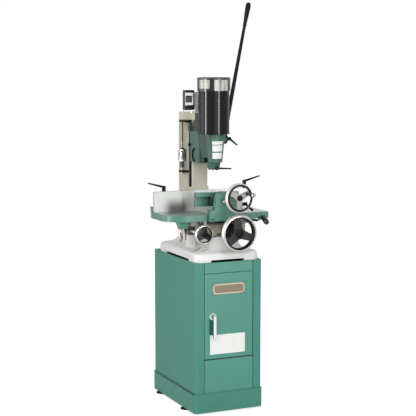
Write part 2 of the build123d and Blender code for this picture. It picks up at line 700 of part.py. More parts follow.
def table_lock_rod():
    """The lock rod along the table's front edge, cranked towards the operator at its end."""
    rod_end = (172, LOCK_Y, LOCK_Z)
    rod = rod_x(-124, rod_end[0], LOCK_Y, LOCK_Z, LOCK_ROD_R)
    rod += ball(rod_end, LOCK_ROD_R) + taper(rod_end, LOCK_BEND, LOCK_ROD_R, 5.8)
    rod += ball(LOCK_BEND, 5.8) + taper(LOCK_BEND, LOCK_NECK, 5.8, 6.2)
    collar = rod_x(-82, -76, LOCK_Y, LOCK_Z, 7.6) + rod_x(76, 82, LOCK_Y, LOCK_Z, 7.6)
    return rod + collar


def table_lock_grip():
    """The bulbous grip on the lock rod's cranked end, tipped down towards the operator."""
    way = Vector(*LOCK_TIP) - Vector(*LOCK_NECK)
    plane = Plane(origin=LOCK_NECK, z_dir=way)
    end = way.length
    profile = ((0, -5), (9, -5), (12.5, 6), (14, end - 14), (11, end - 4), (0, end))
    return turned(plane, *profile) - table_lock_rod()


def fence_plate():
    plate = box(FENCE_X0, FENCE_X1, FENCE_Y, FENCE_Y + FENCE_T, TABLE_TOP + 0.2, FENCE_TOP)
    plate = fillet(plate.edges().filter_by(Axis.Y), 4)
    for x in FENCE_LEVER_X:
        plate -= rod_z(x, FENCE_Y + FENCE_T / 2, FENCE_TOP - 36, FENCE_TOP + 1, STUD_R + CLEAR)
    return plate


def fence_brackets():
    """Two ribbed angle castings that carry the fence on the table."""
    brackets = []
    y0 = FENCE_Y + FENCE_T
    for x in (-240, 164):
        leaf = [(y0, TABLE_TOP + 0.2), (TABLE_Y1, TABLE_TOP + 0.2), (TABLE_Y1, TABLE_TOP + 13)]
        leaf += [(y0 + 11, TABLE_TOP + 13), (y0 + 11, 1046), (y0, 1046)]
        bracket = across(leaf, x - 42, x + 42)
        rib = [(y0 + 10, TABLE_TOP + 12), (TABLE_Y1 - 2, TABLE_TOP + 12), (y0 + 10, 1040)]
        bracket += across(rib, x - 5, x + 5)
        for side in (-26, 26):
            slot = SlotOverall(20, 9, rotation=90)
            bracket -= Pos(x + side, y0 + 24, TABLE_TOP - 1) * extrude(slot, 20)
        brackets.append(bracket)
    brackets[0] += box(-287, -281, y0 + 4, TABLE_Y1 - 8, TABLE_TOP + 0.2, TABLE_TOP + 26)
    return Compound(brackets)


def fence_lever(index):
    """A clamp lever on the fence's top edge, its arm turned outwards."""
    x = FENCE_LEVER_X[index]
    arm = (-1, -0.12, 0) if index == 0 else (1, 0.05, 0)
    hub = 27 if index == 0 else 40
    plane = Plane(origin=(x, FENCE_Y + FENCE_T / 2, FENCE_TOP + 0.3), x_dir=arm, z_dir=(0, 0, 1))
    return clamp_lever(plane, 9.5, hub, STUD_R, 34, 84, 22)


def vise_bracket():
    """The pillar on the table's front edge that holds the vise screw and guide rods."""
    points = [(-83, TABLE_Z0), (118, TABLE_Z0), (118, 952), (94, 958), (86, 1034), (64, 1072)]
    points += [(-20, 1072), (-38, 1062), (-46, 1048), (-57, 985), (-83, 985)]
    pillar = along(points, BRACKET_Y0, TABLE_Y0)
    pillar = fillet(pillar.edges().group_by(Axis.Y)[0], 3)
    pillar += rod_y(VISE_X, BRACKET_Y0 - 10, BRACKET_Y0, VISE_Z, 17)
    pillar -= rod_y(VISE_X, BRACKET_Y0 - 11, TABLE_Y0 + 1, VISE_Z, VISE_SCREW_R + CLEAR)
    for x in (VISE_X - VISE_ROD_SPREAD, VISE_X + VISE_ROD_SPREAD):
        pillar -= rod_y(x, BRACKET_Y0 - 1, TABLE_Y0 + 1, VISE_ROD_Z, VISE_ROD_R + RUN)
    for x in BRACKET_BOLT_X:
        pillar -= rod_y(x, BRACKET_Y0 - 1, TABLE_Y0 + 1, BRACKET_BOLT_Z, 4.4)
        pillar -= rod_y(x, BRACKET_Y0 - 1, BRACKET_Y0 + 8, BRACKET_BOLT_Z, 8)
    pillar -= rod_x(70, 100, (BRACKET_Y0 + TABLE_Y0) / 2, VISE_CLAMP_Z, STUD_R + CLEAR)
    return pillar


def vise_bracket_bolts():
    """Two socket-head bolts, sunk flush in the bracket's foot."""
    bolts = []
    seat = BRACKET_Y0 + 8
    for x in BRACKET_BOLT_X:
        bolt = rod_y(x, seat, TABLE_Y0, BRACKET_BOLT_Z, 4.3)
        bolt += rod_y(x, seat - 7, seat, BRACKET_BOLT_Z, 7.5)
        socket = facing_front(x, seat - 3, BRACKET_BOLT_Z) * extrude(RegularPolygon(3.5, 6), 5)
        bolts.append(bolt - socket)
    return Compound(bolts)


def vise_jaw():
    """The moving jaw: an angle with a deep top flange and a boss for the screw and rods."""
    jaw = box(JAW_X0, JAW_X1, JAW_Y0, JAW_Y1, JAW_Z0, JAW_Z1)
    jaw = fillet(jaw.edges().filter_by(Axis.Y), 3)
    boss, flange_z = 60, JAW_Z1 - 20
    jaw -= box(JAW_X0 - 1, VISE_X - boss, JAW_Y0 - 1, JAW_Y1 - 11, JAW_Z0 - 1, flange_z)
    jaw -= box(VISE_X + boss, JAW_X1 + 1, JAW_Y0 - 1, JAW_Y1 - 11, JAW_Z0 - 1, flange_z)
    jaw -= rod_y(VISE_X, JAW_Y0 - 1, JAW_Y0 + 18, VISE_Z, VISE_SCREW_R + RUN)
    for x in (VISE_X - VISE_ROD_SPREAD, VISE_X + VISE_ROD_SPREAD):
        jaw -= rod_y(x, JAW_Y0 - 1, JAW_Y0 + 18, VISE_ROD_Z, VISE_ROD_R + PRESS)
    return jaw


def vise_guide_rods():
    rods = []
    for x in (VISE_X - VISE_ROD_SPREAD, VISE_X + VISE_ROD_SPREAD):
        rod = rod_y(x, BRACKET_Y0 - 32, JAW_Y0 + 18, VISE_ROD_Z, VISE_ROD_R)
        rods.append(chamfer(rod.edges().group_by(Axis.Y)[0], 1.5))
    return Compound(rods)


def vise_screw():
    return rod_y(VISE_X, VISE_WHEEL_Y + 1, JAW_Y0 + 17.7, VISE_Z, VISE_SCREW_R)


def handle_seat():
    """The plane on the vise wheel's spoke where its handle turns."""
    angle = radians(HANDLE_ANGLE)
    x, z = VISE_X + HANDLE_RING * cos(angle), VISE_Z + HANDLE_RING * sin(angle)
    return facing_front(x, VISE_WHEEL_Y - 3.1, z)


def vise_handwheel():
    """The vise wheel, bored through one spoke for its handle."""
    plane = facing_front(VISE_X, VISE_WHEEL_Y, VISE_Z)
    rim = (VISE_RIM_DEPTH, VISE_RIM_LEAN)
    wheel = hand_wheel(plane, VISE_WHEEL_R, VISE_RIM, (19, 26), VISE_SCREW_R, 22, HANDLE_ANGLE, *rim)
    return wheel - handle_seat() * Cylinder(HANDLE_PIN_R + RUN, 30)


def vise_wheel_handle():
    """The revolving handle on the vise wheel: a pin, a waisted shank and a bright ball end."""
    shank = [(0, -9), (HANDLE_PIN_R, -9), (HANDLE_PIN_R, 0), (8, 0), (8, 5), (5.5, 12)]
    shank += [(8.5, 42), (6, 60), (0, 60)]
    return turned(handle_seat(), *shank) + handle_seat() * (Pos(0, 0, 68) * Sphere(11))


def vise_lock_lever():
    """The small forward-pointing lever that clamps the guide rods."""
    y = (BRACKET_Y0 + TABLE_Y0) / 2
    tip = (117, y - 66, VISE_CLAMP_Z - 22)
    lever = rod_x(74, 120, y, VISE_CLAMP_Z, STUD_R) + rod_x(95.5, 120, y, VISE_CLAMP_Z, 9)
    lever += taper((112, y, VISE_CLAMP_Z), tip, 4.2, 6)
    return lever + ball(tip, 6.2)


# Head, motor, spindle and feed lever


def head_casting():
    """The sliding head: a dovetailed block, a tapering nose and a plate behind the motor."""
    block = box(-HEAD_HALF_W, HEAD_HALF_W, -30, HEAD_REAR, HEAD_Z0, MOTOR_Z0)
    block += box(-HEAD_HALF_W, HEAD_HALF_W, -6, HEAD_REAR, MOTOR_Z0, HEAD_Z1)
    block = fillet(block.edges().filter_by(Axis.Z).group_by(Axis.Y)[-1], 3)
    block += box(-HEAD_HALF_W, HEAD_HALF_W, -6, CAP_Y0 - 6, HEAD_Z1 - 1, CAP_TOP)
    block += box(-62, -HEAD_HALF_W + 1, 60, HEAD_REAR - 3, HEAD_Z1 - 24, ARM_Z0)
    collar_z = MOTOR_Z0 - 10
    nose_low = Pos(0, 0, NOSE_Z0) * nose_section(NOSE_R_LOW)
    nose_high = Pos(0, 0, collar_z) * nose_section(NOSE_R_TOP - 1)
    block += loft([nose_low, nose_high])
    block += Pos(0, 0, collar_z) * extrude(nose_section(NOSE_R_TOP + 3), MOTOR_Z0 - collar_z)
    block += rod_x(30, CLAMP_X, CLAMP_Y, CLAMP_Z, 11)
    block -= rod_x(-HEAD_HALF_W - 1, -HEAD_HALF_W + 7, 32, 1234, 35)
    slope = (DOVE_HALF_FRONT - DOVE_HALF_BACK) / (COL_Y0 + 1 - DOVE_Y - DOVE_LAND)
    rear = HEAD_REAR + 1
    land = DOVE_Y + DOVE_LAND
    half_front = DOVE_HALF_FRONT + CLEAR
    half_rear = half_front - slope * (rear - land)
    slot = [(-half_front, DOVE_Y - CLEAR), (half_front, DOVE_Y - CLEAR), (half_front, land)]
    slot += [(half_rear, rear), (-half_rear, rear), (-half_front, land)]
    block -= plan(slot, HEAD_Z0 - 1, HEAD_Z1 + 1)
    tip_r = HEAD_MODULE * (HEAD_TEETH / 2 + 1)
    block -= rod_x(-13, 13, PINION_Y, PINION_Z, tip_r + 2)
    block -= rod_x(-HEAD_HALF_W + 4, HEAD_HALF_W + 1, PINION_Y, PINION_Z, PINION_SHAFT_R + RUN)
    block -= rod_z(0, SPINDLE_Y, NOSE_Z0 - 1, 1290, CHUCK_ROOM_R)
    block -= rod_z(0, SPINDLE_Y, 1280, MOTOR_Z0 + 1, 17)
    block -= rod_z(0, SPINDLE_Y, MOTOR_Z0 - 16, MOTOR_Z0 + 1, BEARING_R + PRESS)
    block -= box(-70, -20, -104, -66, NOSE_Z0 - 1, 1228)
    block -= rod_x(CLAMP_X - 12, CLAMP_X + 1, CLAMP_Y, CLAMP_Z, STUD_R + CLEAR)
    return block


def chisel_holder():
    """The tapering round boss under the nose that carries the chisel bushing."""
    plane = Plane(origin=(0, SPINDLE_Y, 0))
    bore = BUSH_R + PRESS
    profile = [(bore, HOLDER_Z0), (25, HOLDER_Z0), (28, HOLDER_Z0 + 3), (34, NOSE_Z0), (bore, NOSE_Z0)]
    holder = turned(plane, *profile)
    holder += box(-9, 9, SPINDLE_Y + 24, -30.1, HOLDER_Z0 + 4, NOSE_Z0)
    return holder - rod_y(0, -130, -105, CHISEL_CLAMP_Z, STUD_R + CLEAR)


def nose_section(r):
    """A flat-backed round: the nose's cross-section at one height."""
    return Pos(0, SPINDLE_Y) * Circle(r) + Pos(0, SPINDLE_Y + 32) * Rectangle(2 * r - 0.5, 64)


def motor_can():
    """The ribless motor shell, open below, with a bearing shield at its top."""
    plane = Plane(origin=(0, SPINDLE_Y, 0))
    z0, z1 = MOTOR_Z0, COVER_Z0 + 10
    seat = BEARING_R + PRESS
    profile = [(MOTOR_R - 3.5, z0), (MOTOR_R + 2, z0), (MOTOR_R + 2, z0 + 5)]
    profile += [(MOTOR_R, z0 + 7), (MOTOR_R, z1)]
    profile += [(SHAFT_R + 3, z1), (SHAFT_R + 3, z1 - 5), (seat, z1 - 5), (seat, z1 - 17)]
    profile += [(30, z1 - 17), (34, z1 - 6), (MOTOR_R - 3.5, z1 - 6)]
    return turned(plane, *profile)


def motor_stator():
    """Laminated ring with the two end turns of its winding."""
    plane = Plane(origin=(0, SPINDLE_Y, 0))
    outer, z0, z1 = MOTOR_R - 3.55, 1405, 1490
    profile = [(46, z0), (50, z0), (50, z0 - 18), (64, z0 - 22), (68, z0 - 12), (68, z0), (outer, z0)]
    profile += [(outer, z1), (68, z1), (68, z1 + 12), (64, z1 + 22), (50, z1 + 18), (50, z1), (46, z1)]
    return turned(plane, *profile)


def motor_bearings():
    """Two sealed ball bearings, drawn as stepped rings, below and above the rotor."""
    rings = []
    for z in (MOTOR_Z0 - 15, COVER_Z0 - 7):
        plane = Plane(origin=(0, SPINDLE_Y, z))
        profile = ((SHAFT_R + RUN, 0), (16, 0), (16, 1), (20, 1), (20, 0), (BEARING_R, 0))
        profile += ((BEARING_R, 12), (20, 12), (20, 11), (16, 11), (16, 12), (SHAFT_R + RUN, 12))
        rings.append(turned(plane, *profile))
    return Compound(rings)


def spindle_rotor():
    """The motor shaft with its rotor core; its foot carries the chuck."""
    plane = Plane(origin=(0, SPINDLE_Y, 0))
    profile = [(0, 1236), (SHAFT_R, 1236), (SHAFT_R, 1366), (16, 1368)]
    profile += [(16, 1400), (45, 1400), (45, 1495), (16, 1495)]
    profile += [(16, 1530), (SHAFT_R, 1532), (SHAFT_R, 1596), (0, 1596)]
    return turned(plane, *profile)


def cooling_fan():
    """A hub and back disc with eight radial blades."""
    plane = Plane(origin=(0, SPINDLE_Y, COVER_Z0 + 20))
    bore = SHAFT_R + PRESS
    profile = ((bore, 0), (62, 0), (62, 3), (19, 5), (19, 22), (bore, 22))
    fan = turned(plane, *profile)
    for i in range(8):
        blade = Pos(39, 0, 10) * Box(42, 2.5, 16)
        fan += plane * (Rot(0, 0, 45 * i) * blade)
    return fan


def fan_cover():
    """The cap over the fan: a shallow cup with a domed lid and a ring of air slots."""
    plane = Plane(origin=(0, SPINDLE_Y, 0))
    z0, z1, wall = COVER_Z0, MOTOR_TOP, 2.5
    profile = [(MOTOR_R + 0.05, z0), (COVER_R, z0), (COVER_R, z1 - 10)]
    profile += [(COVER_R + 1.2, z1 - 9), (COVER_R + 1.2, z1 - 5)]
    profile += [(COVER_R - 6, z1 - 1), (0, z1), (0, z1 - wall), (COVER_R - 7, z1 - wall - 2)]
    profile += [(COVER_R - wall, z1 - 11), (COVER_R - wall, z0 + 4), (MOTOR_R + 0.05, z0 + 4)]
    cover = turned(plane, *profile)
    for i in range(18):
        slot = Pos(44, 0, z1 - 8) * extrude(SlotOverall(42, 5), 12)
        cover -= plane * (Rot(0, 0, 20 * i) * slot)
    return cover


def drill_chuck():
    """A three-jaw chuck in the nose, its key sleeve and its conical mouth."""
    plane = Plane(origin=(0, SPINDLE_Y, 0))
    profile = [(6.5, 1204), (12, 1204), (20, 1214), (20, 1224)]
    profile += [(23, 1225), (23, 1246), (17, 1250), (17, 1262)]
    profile += [(SHAFT_R + PRESS, 1262), (SHAFT_R + PRESS, 1236), (6.5, 1232)]
    return turned(plane, *profile)


def chisel_bushing():
    """The split bushing that holds the chisel's round shank."""
    plane = Plane(origin=(0, SPINDLE_Y, 0))
    profile = [(BUSH_BORE_R, 1162), (22, 1162), (22, HOLDER_Z0), (BUSH_R, HOLDER_Z0)]
    profile += [(BUSH_R, 1200), (BUSH_BORE_R, 1200)]
    return turned(plane, *profile)


def chisel_lock_lever():
    """The slim lever on the nose's front that clamps the chisel bushing."""
    plane = Plane(origin=(0, -116.5, CHISEL_CLAMP_Z), x_dir=(1, 0, 0), z_dir=(0, -1, 0))
    lever = Cylinder(STUD_R, 10)
    lever += Pos(0, 0, 9) * Cylinder(8, 9)
    lever += taper((0, 0, 9), (69, -3, 19), 4.6, 3.4)
    lever += ball((69, -3, 19), 3.8)
    return plane * lever


def head_lock_lever():
    """The lever on the nose's right side that clamps the head on its slide."""
    plane = Plane(origin=(CLAMP_X + CLEAR, CLAMP_Y, CLAMP_Z), x_dir=(0, 0, -1), z_dir=(1, 0, 0))
    return clamp_lever(plane, 9, 26, STUD_R, 10, 31, 40)


def stop_arm():
    """The black arm from the head along the column's left face, bored for the depth rod."""
    arm = box(-80, -52, 78, 164, ARM_Z0, ARM_Z0 + 10)
    arm = fillet(arm.edges().filter_by(Axis.Z).group_by(Axis.Y)[-1], 8)
    return arm - rod_z(STOP_X, STOP_Y, ARM_Z0 - 1, ARM_Z0 + 11, STOP_R + 0.4)


def switch_box():
    """A shallow box with a recess in its face for the rocker."""
    case = box(*SWITCH_BOX_X, SWITCH_Y - 26, SWITCH_Y, *SWITCH_BOX_Z)
    case = fillet(case.edges().filter_by(Axis.Y), 4)
    case = chamfer(case.edges().group_by(Axis.Y)[0], 1.5)
    pin = rod_x(SWITCH_X - 18.5, SWITCH_X + 18.5, SWITCH_Y - 18, SWITCH_Z, 2)
    recess = box(SWITCH_X - 17.5, SWITCH_X + 17.5, 0, SWITCH_Y - 8, SWITCH_Z - 16, SWITCH_Z + 16)
    return case - recess + pin


def switch_rocker():
    """The rocker, a shallow V on a cross pin in the switch's recess."""
    y = SWITCH_Y - 18
    points = [(y + 5, -12), (y - 9, -14), (y - 7, 0), (y - 13, 13), (y + 5, 12)]
    rocker = across([(py, SWITCH_Z + pz) for py, pz in points], SWITCH_X - 16.5, SWITCH_X + 16.5)
    return rocker - rod_x(SWITCH_X - 18, SWITCH_X + 18, y, SWITCH_Z, 2 + RUN)


def feed_pinion():
    """The lever's shaft and the pinion that climbs the column's rack."""
    shaft = rod_x(-HEAD_HALF_W + 5, LEVER_X + 8, PINION_Y, PINION_Z, PINION_SHAFT_R)
    teeth = make_face(Polyline(*gear_outline(HEAD_MODULE, HEAD_TEETH, 0), close=True))
    facing_right = Plane(origin=(-11, PINION_Y, PINION_Z), x_dir=(0, 1, 0), z_dir=(1, 0, 0))
    return shaft + facing_right * extrude(teeth, GEAR_FACE)


def lever_point(z):
    return (LEVER_X + LEVER_SPLAY * (z - PINION_Z), PINION_Y, z)


def feed_lever():
    """The long splayed lever, stepped down from its hub to the grip."""
    lever = rod_x(HEAD_HALF_W + 2, LEVER_X + 12, PINION_Y, PINION_Z, 27)
    lever = chamfer(lever.edges().filter_by(GeomType.CIRCLE), 3)
    lever += taper(lever_point(PINION_Z + 14), lever_point(1420), 13, 11)
    lever += taper(lever_point(1420), lever_point(LEVER_TIP_Z - 118), 11, 7.5)
    lever -= rod_x(HEAD_HALF_W, LEVER_X + 8 + PRESS, PINION_Y, PINION_Z, PINION_SHAFT_R + PRESS)
    return lever


def lever_grip():
    """The moulded grip, swelling towards its rounded end."""
    base, tip = Vector(*lever_point(LEVER_TIP_Z - 118)), Vector(*lever_point(LEVER_TIP_Z))
    plane = Plane(origin=base, z_dir=tip - base)
    length = (tip - base).length
    profile = [(0, 0), (9, 0), (9.5, 6), (8.5, 14), (11, 50)]
    profile += [(13.5, length - 22), (12, length - 7), (6, length), (0, length)]
    return turned(plane, *profile)


cross_plane = facing_front(CROSS_X, CROSS_WHEEL_Y, CROSS_Z)
long_plane = facing_front(LONG_X, LONG_WHEEL_Y, LONG_Z)

parts["side_panel_left"] = side_panel(-1)
parts["side_panel_right"] = side_panel(1)
parts["back_panel"] = back_panel()
parts["front_panels"] = front_panels()
parts["plinth"] = plinth()
parts["floor_feet"] = floor_feet()
parts["cabinet_door"] = cabinet_door()
parts["door_handle"] = door_handle()
parts["base_casting"] = base_casting()
parts["hold_down_bolts"] = hold_down_bolts()
parts["column"] = column()
parts["column_cap"] = column_cap()
parts["column_rack"] = column_rack()
parts["depth_rod"] = depth_rod()
parts["depth_rod_bracket"] = depth_rod_bracket()
parts["depth_collar"] = depth_collar()
parts["saddle"] = saddle()
parts["feed_housing"] = feed_housing()
parts["cross_feed_screw"] = cross_feed_screw()
parts["cross_handwheel"] = hand_wheel(cross_plane, CROSS_WHEEL_R, 6, (15, 20), CROSS_SCREW_R, 24, 90)
parts["feed_shaft"] = feed_shaft()
parts["long_handwheel"] = hand_wheel(long_plane, LONG_WHEEL_R, 11, (29, 40), FEED_SHAFT_R, 32, -20)
parts["table"] = table()
parts["table_gib"] = table_gib()
parts["table_rack"] = table_rack()
parts["table_stop_post"] = table_stop_post()
parts["stop_lock_lever"] = stop_lock_lever()
parts["table_lock_screw"] = table_lock_screw()
parts["table_lock_rod"] = table_lock_rod()
parts["table_lock_grip"] = table_lock_grip()
parts["fence_plate"] = fence_plate()
parts["fence_brackets"] = fence_brackets()
parts["fence_lever_left"] = fence_lever(0)
parts["fence_lever_right"] = fence_lever(1)
parts["vise_bracket"] = vise_bracket()
parts["vise_bracket_bolts"] = vise_bracket_bolts()
parts["vise_jaw"] = vise_jaw()
parts["vise_guide_rods"] = vise_guide_rods()
parts["vise_screw"] = vise_screw()
parts["vise_handwheel"] = vise_handwheel()
parts["vise_wheel_handle"] = vise_wheel_handle()
parts["vise_lock_lever"] = vise_lock_lever()
parts["head_casting"] = head_casting()
parts["motor_can"] = motor_can()
parts["motor_stator"] = motor_stator()
parts["motor_bearings"] = motor_bearings()
parts["spindle_rotor"] = spindle_rotor()
parts["cooling_fan"] = cooling_fan()
parts["fan_cover"] = fan_cover()
parts["drill_chuck"] = drill_chuck()
parts["chisel_holder"] = chisel_holder()
parts["chisel_bushing"] = chisel_bushing()
parts["chisel_lock_lever"] = chisel_lock_lever()
parts["head_lock_lever"] = head_lock_lever()
parts["stop_arm"] = stop_arm()
parts["switch_box"] = switch_box()
parts["switch_rocker"] = switch_rocker()
parts["feed_pinion"] = feed_pinion()
parts["feed_lever"] = feed_lever()
parts["lever_grip"] = lever_grip()

os.makedirs("parts", exist_ok=True)
for name, shape in parts.items():
    export_step(shape, f"parts/{name}.step")
print(len(parts), "parts written")
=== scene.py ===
from math import cos, pi, radians, sin

import bmesh
import bpy
from mathutils import Matrix, Vector


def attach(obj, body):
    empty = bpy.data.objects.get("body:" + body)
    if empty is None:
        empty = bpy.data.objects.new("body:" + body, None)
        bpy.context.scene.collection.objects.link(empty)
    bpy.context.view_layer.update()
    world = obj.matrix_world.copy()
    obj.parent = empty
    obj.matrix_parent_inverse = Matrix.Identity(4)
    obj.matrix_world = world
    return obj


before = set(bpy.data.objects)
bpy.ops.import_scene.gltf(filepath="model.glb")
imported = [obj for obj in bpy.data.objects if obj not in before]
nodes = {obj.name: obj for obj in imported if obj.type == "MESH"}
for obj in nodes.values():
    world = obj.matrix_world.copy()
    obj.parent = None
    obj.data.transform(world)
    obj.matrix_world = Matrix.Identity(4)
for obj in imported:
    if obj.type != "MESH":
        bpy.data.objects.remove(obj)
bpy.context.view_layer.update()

# A floor-standing mortiser on a plain floor. Lengths on the machine are in millimetres, in
# the frame of the solids, and become metres where meshes and masks are made. Lights, the
# camera, bump depths and the reach of painted shade are in metres, and noise counts waves to the metre.
MM = 0.001
UP, FRONT, REAR, LEFT, RIGHT = (0, 0, 1), (0, -1, 0), (0, 1, 0), (-1, 0, 0), (1, 0, 0)

# Faces and axes that pieces are set on. An axis has None for the coordinate along it.
SPINDLE_Y = -87.0
DOOR_Y, BACK_Y = -265.0, 265.0
PLINTH_X = 183.0
COVER_R = 81.0
NOSE_R_LOW, NOSE_R_HIGH = 42.0, 55.0
NOSE_Z_LOW, NOSE_Z_HIGH = 1205.0, 1333.0
DEPTH_ROD_X, DEPTH_ROD_Y = -69.0, 145.0
LONG_AXIS = (21.0, None, 882.0)
CROSS_AXIS = (-107.0, None, 868.0)
VISE_AXIS = (24.0, None, 1050.0)

# Edges where the finish of a piece, or painted shade or light on it, changes. A pair is a span.
EDGE_WIDTH = 1.0
SEAM_Y = (-262.6, -250.5)
DOOR_EDGE_X, DOOR_EDGE_Z = 126.4, (264.8, 270.1)
PLINTH_SIDE_X, PLINTH_EDGE_Z = -181.5, 96.5
CABINET_TOP_Z, BASE_X, BASE_Y = 738.2, (-168.0, 168.0), (-255.0, 243.0)
WAY_FOOT_Z, WAY_END_Y = 846.5, 74.0
TABLE_TOP_Z, RAIL_TOP_Z, RAIL_END_X = 961.2, 929.5, -163.0
# Where the painted light lies on the table's top.
LIT_PATCH_X, LIT_PATCH_Y, LIT_PATCH_FADE = (-56.0, 40.0), (-150.0, -30.0), 20.0
GROOVE_Y, GROOVE_FOOT_Z = (84.6, 108.5), 1069.5
FENCE_MIDDLE_X, FENCE_FADE, FENCE_FACE_Y = -75.0, 60.0, (-19.0, -17.0)
# The span of the painted shadow low on the fence.
SHADOW_LEFT_X, SHADOW_RIGHT_X, SHADOW_Z = (-254.0, -190.0), (-138.0, -86.0), (980.0, 1044.0)
HEAD_TOP_Z = 1349.5
FLANK_X, FLANK_Y, FLANK_Z = (-42.0, -26.0), (-40.0, 10.0), (1349.0, 1350.0)
POCKET_AXIS, POCKET_REAR_Y = (None, 32.0, 1234.0), 42.0
POCKET_EDGE_R, POCKET_R = 31.5, (35.2, 35.6)
NOTCH_X, NOTCH_Y, NOTCH_Z = (-19.5, -19.1), (-104.3, -65.7), (1228.4, 1228.8)
CAP_TOP_Z = 1442.5
COVER_TOP_Z = 1607.5
LOCK_SCREW_HEAD_Z = 873.5
COLLAR_RING_Z = 1196.0
HANDLE_RING_Y = -391.0
VISE_RING_Y = -337.2
LONG_RIM_R, CROSS_RIM_R, RIM_EDGE = 79.5, 40.5, 1.2
VISE_RIM_R, VISE_RIM_EDGE = 58.0, 2.0

# Colours
GREEN = (0.087, 0.308, 0.243)
CAST_GREEN = (0.085, 0.235, 0.180)
HEAD_GREEN = (0.076, 0.170, 0.128)
NOSE_GREEN = (0.059, 0.138, 0.099)
# The painted shade of the recess beside the door handle.
RECESS_SHADE_GREEN = (0.018, 0.115, 0.095)
# Painted shade on the head: its left flank, and its pocket and notch.
FLANK_SHADE_GREEN = (0.037, 0.076, 0.061)
HOLLOW_SHADE_GREEN = (0.004, 0.009, 0.007)
WHITE = (0.88, 0.882, 0.89)
# Painted light: the paler colour of the base's faces that look up.
TOP_LIGHT_WHITE = (0.97, 0.97, 0.98)
BEIGE = (0.58, 0.562, 0.46)
BLACK = (0.006, 0.0055, 0.0052)
GLOSS_BLACK = (0.005, 0.005, 0.005)
GROOVE_OIL_AND_SHADE = (0.022, 0.021, 0.019)
# The colour of the painted shadow on the fence.
FENCE_SHADOW_GREY = (0.045, 0.045, 0.042)
# The painted shade of the creases on the base.
RIDGE_SHADE_GREY = (0.30, 0.30, 0.295)
WAY_GREY = (0.13, 0.125, 0.115)
RAW_IRON = (0.385, 0.37, 0.305)
RAIL_IRON = ((0.16, 0.15, 0.13), (0.25, 0.235, 0.205))
GROUND_IRON = ((0.30, 0.355, 0.33), (0.41, 0.47, 0.44))
# The colour of the painted light on the table's top.
LIT_PATCH_IRON = (0.88, 0.89, 0.88)
SPOKE_GREY = ((0.20, 0.19, 0.18), (0.40, 0.39, 0.37))
BRIGHT_RIM = (0.66, 0.655, 0.64)

# Finishes that share a piece with another one: colour, roughness, metallic
CHROME = ((0.60, 0.60, 0.59), 0.09, 1.0)
DARK_CHROME = ((0.24, 0.24, 0.235), 0.12, 1.0)
BLACK_PAINT = ((0.011, 0.0098, 0.0085), 0.34, 0.0)
PLATED_RIM = ((0.47, 0.46, 0.435), 0.27, 0.45)
CAP_SIDE = ((0.70, 0.68, 0.56), 0.45, 0.0)
# Painted light: the upright above the cap is painted paler than the cap.
CAP_UPRIGHT_LIT = ((0.94, 0.92, 0.83), 0.40, 0.0)
FENCE_LEFT = ((0.49, 0.50, 0.49), 0.50, 0.15)
FENCE_RIGHT = ((0.76, 0.77, 0.76), 0.45, 0.15)
HEAD_PAINT = (HEAD_GREEN, 0.42, 0.0)
HEAD_TOP_PAINT = ((0.050, 0.060, 0.057), 0.42, 0.0)
COVER_SIDE = ((0.011, 0.011, 0.012), 0.24, 0.0)
COVER_TOP = ((0.042, 0.031, 0.027), 0.40, 0.0)
LOCK_SCREW_SHANK = ((0.09, 0.055, 0.035), 0.40, 0.6)
LOCK_SCREW_HEAD = ((0.012, 0.012, 0.012), 0.40, 0.0)

# Stretches that draw noise out into marks along one direction
MARKS_UP = (1, 1, 0.06)
MARKS_ACROSS = (0.06, 1, 1)
BRUSHED_UP = (1, 1, 0.1)
BRUSHED_ACROSS = (0.05, 1, 1)
STREAKS_UP = (1, 1, 0.04)
WINDINGS = (1, 1, 8)
# The part of 0 to 1 that most of the noise keeps to
NOISE_SPAN = (0.3, 0.7)


# Shader helpers


def new_material(name, colour, roughness, metallic=0.0, specular=0.5):
    """A material with its plain values set on the shader itself."""
    mat = bpy.data.materials.new(name)
    mat.use_nodes = True
    bsdf = mat.node_tree.nodes["Principled BSDF"]
    bsdf.inputs["Base Color"].default_value = (*colour, 1)
    bsdf.inputs["Roughness"].default_value = roughness
    bsdf.inputs["Metallic"].default_value = metallic
    bsdf.inputs["Specular IOR Level"].default_value = specular
    return mat, mat.node_tree, bsdf


def add(tree, kind, **values):
    """A node with its inputs and attributes set by name."""
    node = tree.nodes.new(kind)
    for key, value in values.items():
        if key in node.inputs:
            node.inputs[key].default_value = value
        else:
            setattr(node, key, value)
    return node


def place(tree, stretch=(1, 1, 1)):
    """Coordinates that ride with the piece, in metres, stretched for directional marks."""
    coords = add(tree, "ShaderNodeTexCoord")
    mapping = add(tree, "ShaderNodeMapping", Scale=stretch)
    tree.links.new(coords.outputs["Object"], mapping.inputs["Vector"])
    return mapping.outputs["Vector"]


def noise(tree, scale, detail=3.0, stretch=(1, 1, 1)):
    node = add(tree, "ShaderNodeTexNoise", Scale=scale, Detail=detail)
    tree.links.new(place(tree, stretch), node.inputs["Vector"])
    return node.outputs["Fac"]


def map_range(tree, value, start, end, low, high, smooth=False):
    """A value carried from one range to another."""
    node = add(tree, "ShaderNodeMapRange")
    if smooth:
        node.interpolation_type = "SMOOTHSTEP"
    for socket, number in (("From Min", start), ("From Max", end), ("To Min", low), ("To Max", high)):
        node.inputs[socket].default_value = number
    tree.links.new(value, node.inputs["Value"])
    return node.outputs["Result"]


def spread(tree, value, low, high):
    """A noise value carried to a range."""
    return map_range(tree, value, *NOISE_SPAN, low, high)


def combine(tree, operation, first, second):
    """A sum, product or comparison of two sockets, or of a socket and a number."""
    node = add(tree, "ShaderNodeMath", operation=operation)
    for index, value in enumerate((first, second)):
        if isinstance(value, bpy.types.NodeSocket):
            tree.links.new(value, node.inputs[index])
        else:
            node.inputs[index].default_value = value
    return node.outputs[0]


def product(tree, mask, *others):
    """1 where all masks are 1."""
    for other in others:
        mask = combine(tree, "MULTIPLY", mask, other)
    return mask


